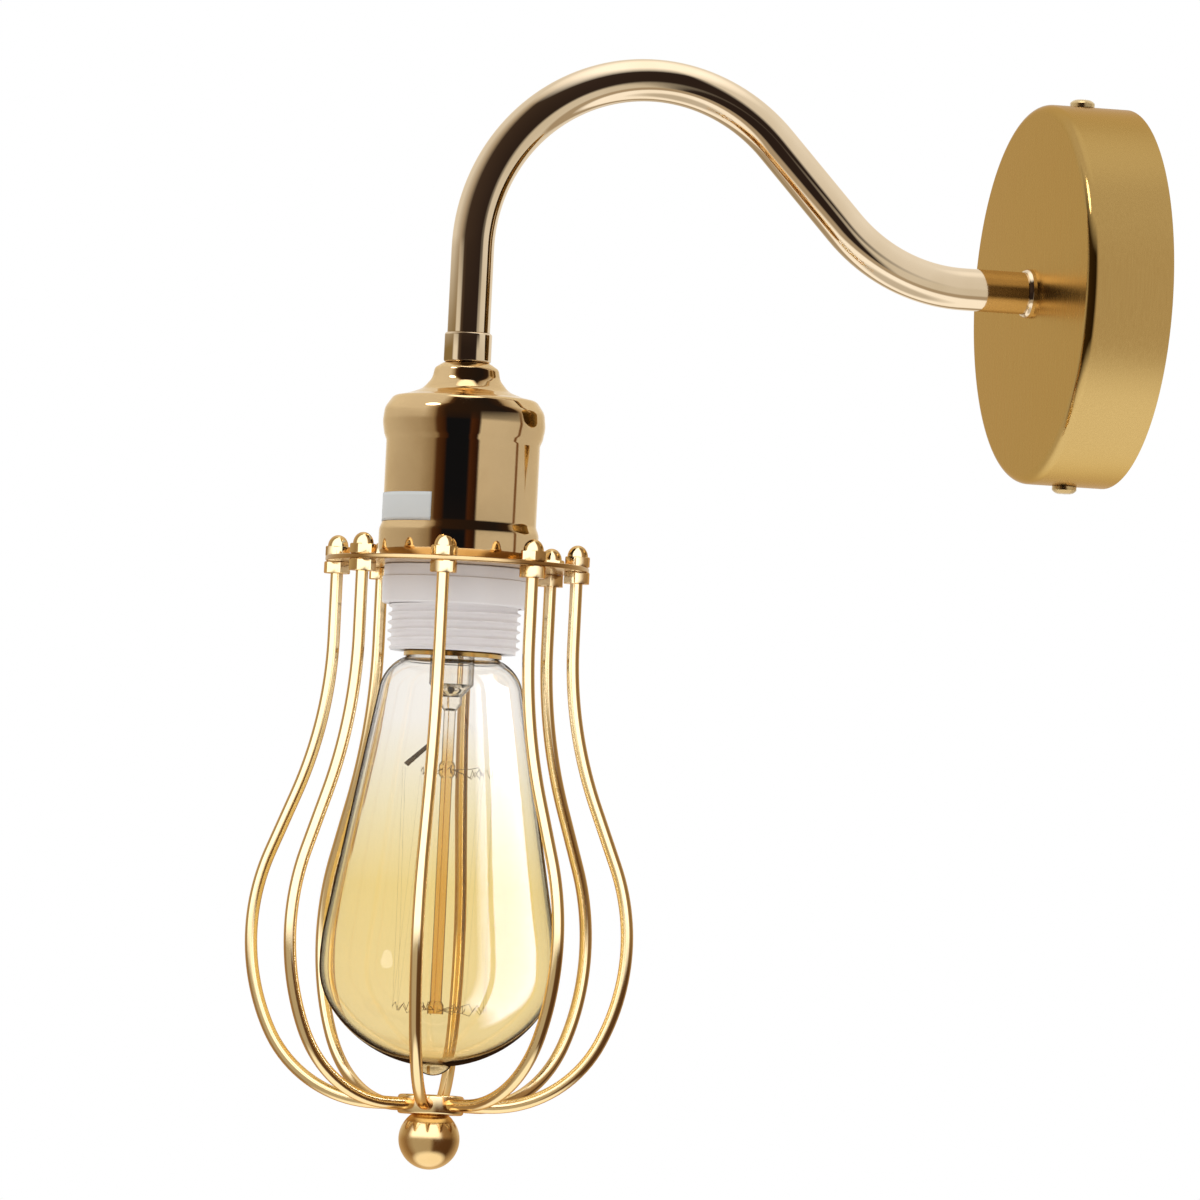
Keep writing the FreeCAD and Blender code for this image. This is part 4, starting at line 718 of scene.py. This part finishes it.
def bulb_profile(inset):
    """Outline of the glass from its neck to the bottom, drawn in by the wall."""
    neck, side, turn = 12.5 * MM, 22.0 * MM, math.radians(35.0)
    shift = BULB_RADIUS - side
    cap = side + shift / math.cos(turn)
    bottom = BULB_BOTTOM + PIP_HEIGHT
    belly = bottom + cap - shift * math.tan(turn)
    shoulder = (20.2 * MM, GLASS_TOP - 9.0 * MM)
    cone = (BULB_RADIUS - 1.0 * MM, GLASS_TOP - 75.5 * MM)
    haunch = (shift + side * math.cos(turn), belly - side * math.sin(turn))
    points = [Vector((neck, NECK_TOP)), Vector((neck, GLASS_TOP))]
    points += arc(points[1], shoulder, 11.7 * MM, 12) + [Vector(cone)]
    points += arc(cone, (BULB_RADIUS, belly), 66.0 * MM, 8)
    points += arc((BULB_RADIUS, belly), haunch, side, 14) + arc(haunch, (0.0, bottom), cap, 28)
    drawn = []
    for index, point in enumerate(points):
        along = (points[min(index + 1, len(points) - 1)] - points[max(index - 1, 0)]).normalized()
        place = point + Vector((along.y, -along.x)) * inset
        drawn.append((max(place.x, 0.0), place.y))
    return drawn


def make_bulb():
    """Glass envelope with its pip, cap, stem, hooks and filament."""
    outer = bulb_profile(0.0)
    inner = bulb_profile(GLASS_WALL)
    pip_root, pip_round = 5.6 * MM, 6.2 * MM
    rim = (5.2 * MM, BULB_BOTTOM + PIP_HEIGHT + 0.4 * MM)
    outer = [point for point in outer if point[0] > pip_root or point[1] > GLASS_TOP]
    outer += [rim] + [tuple(point) for point in arc(rim, (0.0, BULB_BOTTOM), pip_round, 10)]
    glass = lathe("envelope", outer + inner[::-1], (0, LAMP_Y, 0), 128, closed=True, sharp=80)
    dress(glass, "bulb", "bulb_glass", AMBER_GLASS, "bulb_glass")
    paint(CAP_BRASS, "bulb_cap")
    paint(BLACK, "bulb_insulator")
    paint(SOLDER, "bulb_contact")
    paint(STEM_GLASS, "bulb_stem")
    paint(DARK_WIRE, "bulb_lead_wires")
    make_hooks("upper_hook_wires", "bulb_upper_hooks", 7, 1.0, -0.10)
    make_hooks("lower_hook_wires", "bulb_lower_hooks", 8, 0.5, 0.05)
    make_filament()


def ring_place(reach, level, place):
    """Point of a ring of hooks; place counts pitches of a ninth of a turn from the room side."""
    angle = math.radians(-90 + 40 * place)
    return Vector((reach * math.cos(angle), LAMP_Y + reach * math.sin(angle), level))


def make_hooks(name, node, count, first, droop):
    """Hair-thin support wires: each runs out of the button, dips, rises and curls at its end."""
    low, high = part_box(node)
    level = (low.z + high.z) / 2
    reach = (high.x - low.x) / 2 * 1.01
    button, radius = 2.2 * MM, 0.10 * MM
    run = reach - button
    # Share of the run, rise in millimetres and sideways drift in pitches, at each bend of the wire.
    bends = [(0.45, 0.9, 0.0), (0.62, 1.6, 0.05), (0.72, -0.6, 0.0), (0.84, 1.2, -0.05), (0.93, -1.0, 0.03),
             (1.0, 0.2, 0.0)]
    wires = []
    for number in range(count):
        place = first + number
        side = 1 if number % 2 else -1
        points = [ring_place(button, level, place)]
        for share, lift, drift in bends:
            height = level + (lift * side + droop * 10 * share) * MM
            points.append(ring_place(button + run * share, height, place + drift))
        wires.append(tube("hook", points, radius, 8))
    dress(join(name, wires), "bulb", "filament_metal", FINE_WIRE, node)


def make_filament():
    """Coiled filament, as fine as hair, zigzagging between the two rings of hooks."""
    low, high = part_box("bulb_filament")
    margin, radius = 0.6 * MM, 0.025 * MM
    upper, lower = size("bulb_upper_hooks").x / 2, size("bulb_lower_hooks").x / 2
    points = []
    for place in range(17):
        reach, level = (lower, low.z + margin) if place % 2 else (upper, high.z - margin)
        points.append(ring_place(reach, level, place / 2))
    thread = tube("filament_thread", points, radius, 6)
    dress(thread, "bulb", "filament_metal", FINE_WIRE, "bulb_filament")


def paint_hidden():
    """Materials of the nodes that stay as they are."""
    paint(ZINC, "wall_bracket", "arm_nipple", "arm_lock_washer", "arm_lock_nut", "holder_nipple",
          "terminal_screws")
    paint(SCREW_BRASS, "side_screw_top", "side_screw_bottom", "earth_screw")
    paint(CAP_BRASS, "threaded_shell", "contact_tongue", "holder_terminal_screws")
    paint(CLEAR_WHITE, "terminal_block")
    paint(WHITE, "holder_cap")
    paint(CREAM, "holder_insert")
    paint(BROWN_SLEEVE, "live_lead")
    paint(BLUE_SLEEVE, "neutral_lead")
    paint(GREEN_SLEEVE, "earth_lead")


# ---------------------------------------------------------------- floor, light and camera

def make_floor():
    """Pale floor well below the light."""
    mesh = bpy.data.meshes.new("floor")
    half, level = 6.0, -0.62
    mesh.from_pydata([(-half, -half, level), (half, -half, level), (half, half, level), (-half, half, level)],
                     [], [(0, 1, 2, 3)])
    floor = bpy.data.objects.new("floor", mesh)
    floor.visible_glossy = False
    bpy.context.scene.collection.objects.link(floor)
    shader = Shader("pale_floor")
    tone = shader.noise(3.0, 3.0)
    shader.drive("Base Color", shader.ramp(tone, [(0.3, (0.86, 0.86, 0.85)), (0.7, (0.90, 0.90, 0.89))]))
    shader.set(Roughness=0.8)
    mesh.materials.append(shader.material)


def toward(azimuth, elevation):
    """Unit vector from the object towards a viewer at that azimuth and elevation."""
    return Vector((math.sin(azimuth) * math.cos(elevation), -math.cos(azimuth) * math.cos(elevation),
                   math.sin(elevation)))


CAMERA_AZIMUTH = math.radians(73.5)
CAMERA_ELEVATION = math.radians(-2.7)
CAMERA_ROLL = math.radians(2.8)
CAMERA_TARGET = Vector((0.0, -0.1477, -0.0945))
CAMERA_DISTANCE = 5.0
CAMERA_LENS = 532.5
LIGHT_DISTANCE = 1.6
LIGHT_FOCUS = Vector((0.0, LAMP_Y, -0.16))

# What the pieces mirror. The walls are colours by degrees round the room, counted from the camera's azimuth,
# and other_walls take their place by other_share; lamps stand above and below them, where wall_share, like
# other_share a share by degrees of elevation, is nought. Lamps are colours by degrees of elevation.
ROOM = {
    "radius": 2.6,
    "walls": [
        (-180, (1.0, 1.0, 1.0)), (-168, (1.0, 1.0, 1.0)), (-150, (0.78, 0.76, 0.73)),
        (-66, (0.54, 0.49, 0.42)), (-45, (0.36, 0.29, 0.21)), (-39, (0.10, 0.045, 0.02)),
        (-28, (0.05, 0.02, 0.01)), (-24, (0.008, 0.01, 0.018)), (7, (0.008, 0.01, 0.018)),
        (11, (0.08, 0.03, 0.014)), (22, (0.03, 0.012, 0.008)), (25, (0.78, 0.76, 0.73)),
        (86, (0.72, 0.70, 0.67)), (87.5, (0.22, 0.11, 0.05)), (91, (0.22, 0.11, 0.05)),
        (92.5, (0.72, 0.70, 0.67)), (150, (0.78, 0.76, 0.73)), (168, (1.0, 1.0, 1.0)),
        (180, (1.0, 1.0, 1.0))],
    "other_walls": [
        (-180, (1.0, 1.0, 1.0)), (-60, (0.9, 0.88, 0.85)), (-45, (0.42, 0.34, 0.25)),
        (-39, (0.10, 0.05, 0.025)), (-28, (0.035, 0.02, 0.014)), (60, (0.02, 0.016, 0.018)),
        (84, (0.04, 0.022, 0.014)), (92, (0.5, 0.42, 0.33)), (110, (0.9, 0.88, 0.85)),
        (180, (1.0, 1.0, 1.0))],
    "other_share": [(4.5, 0.0), (20, 1.0)],
    "wall_share": [(-48, 0.0), (-42, 1.0), (74, 1.0), (79, 0.0)],
    "lamps": [(-24, (1.15, 1.12, 1.08)), (24, (2.2, 2.2, 2.2))]}
ARM_ROOM = {
    "radius": 0.25,
    "walls": [
        (-180, (0.8, 0.78, 0.74)), (-150, (0.45, 0.38, 0.28)), (-125, (0.30, 0.22, 0.10)),
        (-77, (0.30, 0.22, 0.10)), (-72, (1.0, 0.97, 0.90)), (-60, (1.0, 0.97, 0.90)),
        (-55, (0.12, 0.08, 0.05)), (-44, (0.03, 0.02, 0.016)), (21, (0.03, 0.02, 0.018)),
        (29, (0.78, 0.74, 0.66)), (110, (0.88, 0.86, 0.82)), (180, (1.0, 1.0, 1.0))],
    "other_walls": [
        (-180, (1.0, 1.0, 1.0)), (-100, (0.9, 0.88, 0.84)), (-72, (0.5, 0.43, 0.35)),
        (-55, (0.06, 0.04, 0.03)), (36, (0.03, 0.02, 0.018)), (45, (0.88, 0.85, 0.80)),
        (110, (1.0, 0.99, 0.97)), (180, (1.0, 1.0, 1.0))],
    "other_share": [(-4, 0.0), (6, 1.0)],
    "wall_share": [(-34, 0.0), (-28, 1.0), (52, 1.0), (74, 0.0)],
    "lamps": [
        (-76, (0.7, 0.66, 0.6)), (-64, (1.3, 1.3, 1.3)), (-50, (1.3, 1.3, 1.3)), (-44, (0.5, 0.42, 0.32)),
        (-34, (0.5, 0.42, 0.32)), (60, (1.5, 1.5, 1.5))]}
CANOPY_ROOM = {
    "radius": 0.6,
    "walls": [
        (-180, (0.74, 0.74, 0.72)), (-106, (0.74, 0.74, 0.72)), (-84, (0.06, 0.04, 0.02)),
        (-6, (0.03, 0.02, 0.01)), (8, (0.45, 0.42, 0.38)), (19, (0.76, 0.74, 0.70)),
        (180, (0.78, 0.76, 0.72))],
    "other_walls": [(-180, (0.8, 0.8, 0.78)), (180, (0.8, 0.8, 0.78))],
    "other_share": [(20, 0.0), (40, 1.0)],
    "wall_share": [(-45, 0.0), (-25, 1.0), (60, 1.0), (75, 0.0)],
    "lamps": [(-60, (1.25, 1.35, 1.5)), (-30, (0.8, 0.8, 0.78)), (60, (0.95, 0.97, 0.95))]}
CAGE_ROOM = {
    "radius": 0.8,
    "walls": [
        (-180, (0.9, 0.82, 0.70)), (-120, (0.50, 0.40, 0.26)), (-86, (0.30, 0.20, 0.10)),
        (-66, (1.7, 1.75, 1.85)), (34, (1.7, 1.75, 1.85)), (52, (0.34, 0.22, 0.12)),
        (96, (0.22, 0.14, 0.07)), (130, (0.5, 0.4, 0.26)), (180, (0.9, 0.82, 0.70))],
    "other_walls": [
        (-180, (0.75, 0.58, 0.36)), (-95, (0.26, 0.16, 0.08)), (-62, (0.46, 0.40, 0.31)),
        (2, (0.46, 0.40, 0.31)), (18, (0.11, 0.055, 0.025)), (95, (0.09, 0.045, 0.02)),
        (135, (0.45, 0.34, 0.22)), (180, (0.75, 0.58, 0.36))],
    "other_share": [(-12, 1.0), (-2, 0.0)],
    "wall_share": [(-64, 0.0), (-52, 1.0), (78, 1.0), (86, 0.0)],
    "lamps": [(-75, (1.1, 1.05, 0.95)), (75, (1.7, 1.7, 1.7))]}
GLASS_ROOM = {
    "radius": 1.2,
    "walls": [
        (-180, (0.05, 0.022, 0.008)), (-150, (0.05, 0.022, 0.008)), (-120, (0.3, 0.28, 0.25)),
        (36, (0.25, 0.25, 0.25)), (44, (6.0, 6.5, 7.5)), (62, (9.0, 9.5, 11.5)), (108, (8.0, 8.5, 10.5)),
        (118, (0.5, 0.45, 0.4)), (150, (0.05, 0.022, 0.008)), (180, (0.05, 0.022, 0.008))],
    "other_walls": [
        (-180, (0.12, 0.09, 0.07)), (-140, (0.12, 0.09, 0.07)), (-110, (0.4, 0.4, 0.4)),
        (46, (0.4, 0.4, 0.4)), (60, (5.0, 5.0, 5.0)), (104, (5.0, 5.0, 5.0)), (120, (0.4, 0.4, 0.4)),
        (150, (0.12, 0.09, 0.07)), (180, (0.12, 0.09, 0.07))],
    "other_share": [(20, 0.0), (45, 1.0)],
    "wall_share": [(-66, 0.0), (-52, 1.0), (70, 1.0), (80, 0.0)],
    "lamps": [(-70, (0.10, 0.06, 0.03)), (70, (0.6, 0.6, 0.6))]}


def make_camera():
    """Long lens at the photograph's angle."""
    data = bpy.data.cameras.new("camera")
    data.lens = CAMERA_LENS
    data.sensor_width = 36.0
    data.clip_end = 50.0
    camera = bpy.data.objects.new("camera", data)
    bpy.context.scene.collection.objects.link(camera)
    back = toward(CAMERA_AZIMUTH, CAMERA_ELEVATION)
    right = (-back).cross(Vector((0, 0, 1))).normalized()
    up = right.cross(-back)
    side = right * math.cos(CAMERA_ROLL) + up * math.sin(CAMERA_ROLL)
    rise = up * math.cos(CAMERA_ROLL) - right * math.sin(CAMERA_ROLL)
    turn = Matrix((side, rise, back)).transposed()
    camera.matrix_world = Matrix.Translation(CAMERA_TARGET + back * CAMERA_DISTANCE) @ turn.to_4x4()
    bpy.context.scene.camera = camera


def link_light(source, pieces):
    """Let only those pieces catch the light of a source."""
    catchers = bpy.data.collections.new(source.name + "_catchers")
    for piece in pieces:
        catchers.objects.link(piece)
    source.light_linking.receiver_collection = catchers


def by_turn(stops):
    """Ramp stops of the values at those degrees round a room."""
    return [((degrees + 180) / 360, colour) for degrees, colour in stops]


def by_rise(stops):
    """Ramp stops of the values at those degrees of elevation."""
    return [((math.sin(math.radians(degrees)) + 1) / 2, colour) for degrees, colour in stops]


def make_dome(name, room, centre, pieces, see_through=True):
    """Surroundings that only the reflections of some pieces see; see_through lets the others look past it."""
    mesh = bpy.data.meshes.new(name)
    work = bmesh.new()
    bmesh.ops.create_uvsphere(work, u_segments=64, v_segments=32, radius=room["radius"])
    work.to_mesh(mesh)
    work.free()
    dome = bpy.data.objects.new(name, mesh)
    dome.location = centre
    bpy.context.scene.collection.objects.link(dome)
    shader = Shader(name)
    front = toward(CAMERA_AZIMUTH, 0.0)
    beside = (-front).cross(Vector((0, 0, 1)))
    turn = shader.math("ARCTAN2", shader.dot(beside), shader.dot(front))
    turn = shader.spread(turn, 0.0, 1.0, -math.pi, math.pi)
    level = shader.spread(shader.dot(Vector((0, 0, 1))), 0.0, 1.0, -room["radius"], room["radius"])
    walls, other_walls = (shader.ramp(turn, by_turn(room[stops])) for stops in ("walls", "other_walls"))
    other_share, wall_share = (
        shader.ramp(level, by_rise([(degrees, 3 * (share,)) for degrees, share in room[stops]]))
        for stops in ("other_share", "wall_share"))
    lamps = shader.ramp(level, by_rise(room["lamps"]))
    around = shader.blend(other_share, walls, other_walls)
    glow = shader.nodes.new("ShaderNodeEmission")
    shader.links.new(shader.blend(wall_share, lamps, around), glow.inputs["Color"])
    surface = glow.outputs["Emission"]
    if see_through:
        both = shader.nodes.new("ShaderNodeAddShader")
        shader.links.new(surface, both.inputs[0])
        shader.links.new(shader.nodes.new("ShaderNodeBsdfTransparent").outputs["BSDF"], both.inputs[1])
        surface = both.outputs["Shader"]
    shader.links.new(surface, shader.nodes["Material Output"].inputs["Surface"])
    shader.nodes.remove(shader.surface)
    mesh.materials.append(shader.material)
    for ray in ("camera", "diffuse", "transmission", "volume_scatter", "shadow"):
        setattr(dome, "visible_" + ray, False)
    link_light(dome, pieces)


def make_light(name, azimuth, elevation, width, glow, pieces):
    """A soft disc round the lamp, its azimuth counted from the camera's, that only those pieces catch."""
    way = toward(CAMERA_AZIMUTH + math.radians(azimuth), math.radians(elevation))
    data = bpy.data.lights.new(name, "AREA")
    data.shape = "ELLIPSE"
    data.size = width
    data.size_y = width
    data.energy = glow * math.pi ** 2 * width * width / 4
    lamp = bpy.data.objects.new(name, data)
    lamp.location = LIGHT_FOCUS + way * LIGHT_DISTANCE
    lamp.rotation_mode = "QUATERNION"
    lamp.rotation_quaternion = (-way).to_track_quat("-Z", "Y")
    lamp.visible_transmission = False
    bpy.context.scene.collection.objects.link(lamp)
    link_light(lamp, pieces)


def make_studio():
    """White surroundings, a key light, a spot on the glass and a room for each polished finish to mirror."""
    world = bpy.data.worlds.new("studio")
    bpy.context.scene.world = world
    world.use_nodes = True
    background = world.node_tree.nodes["Background"]
    background.inputs["Color"].default_value = (1.0, 1.0, 1.0, 1.0)
    background.inputs["Strength"].default_value = 1.0
    things = [thing for thing in bpy.data.objects if thing.type == "MESH" and thing.data.materials]

    def made_of(*materials):
        return [thing for thing in things if thing.data.materials[0] in materials]

    cage = made_of(CAGE_GOLD, BALL_GOLD, PLATE_GOLD)
    arm = made_of(ARM_GOLD)
    canopy = made_of(FACE_BRASS)
    glass = made_of(AMBER_GLASS)
    others = [thing for thing in things if thing not in cage + arm + canopy + glass]
    make_light("key_box", azimuth=-60.0, elevation=50.0, width=0.5, glow=5.0, pieces=canopy + others)
    make_light("glass_spot", azimuth=-50.0, elevation=-1.0, width=0.36, glow=3.5, pieces=glass)
    make_dome("arm_room", ARM_ROOM, Vector((0.0, -0.10, 0.0)), arm)
    make_dome("canopy_room", CANOPY_ROOM, Vector((0.0, 0.0, 0.0)), canopy)
    make_dome("cage_room", CAGE_ROOM, CAMERA_TARGET, cage)
    make_dome("glass_room", GLASS_ROOM, CAMERA_TARGET, glass)
    make_dome("room", ROOM, CAMERA_TARGET, others, see_through=False)


make_camera()
make_canopy()
make_arm()
make_cover()
make_label()
make_skirt()
make_shade_ring()
make_cage()
make_bulb()
paint_hidden()
make_floor()
make_studio()

bpy.context.scene.view_settings.view_transform = "Standard"
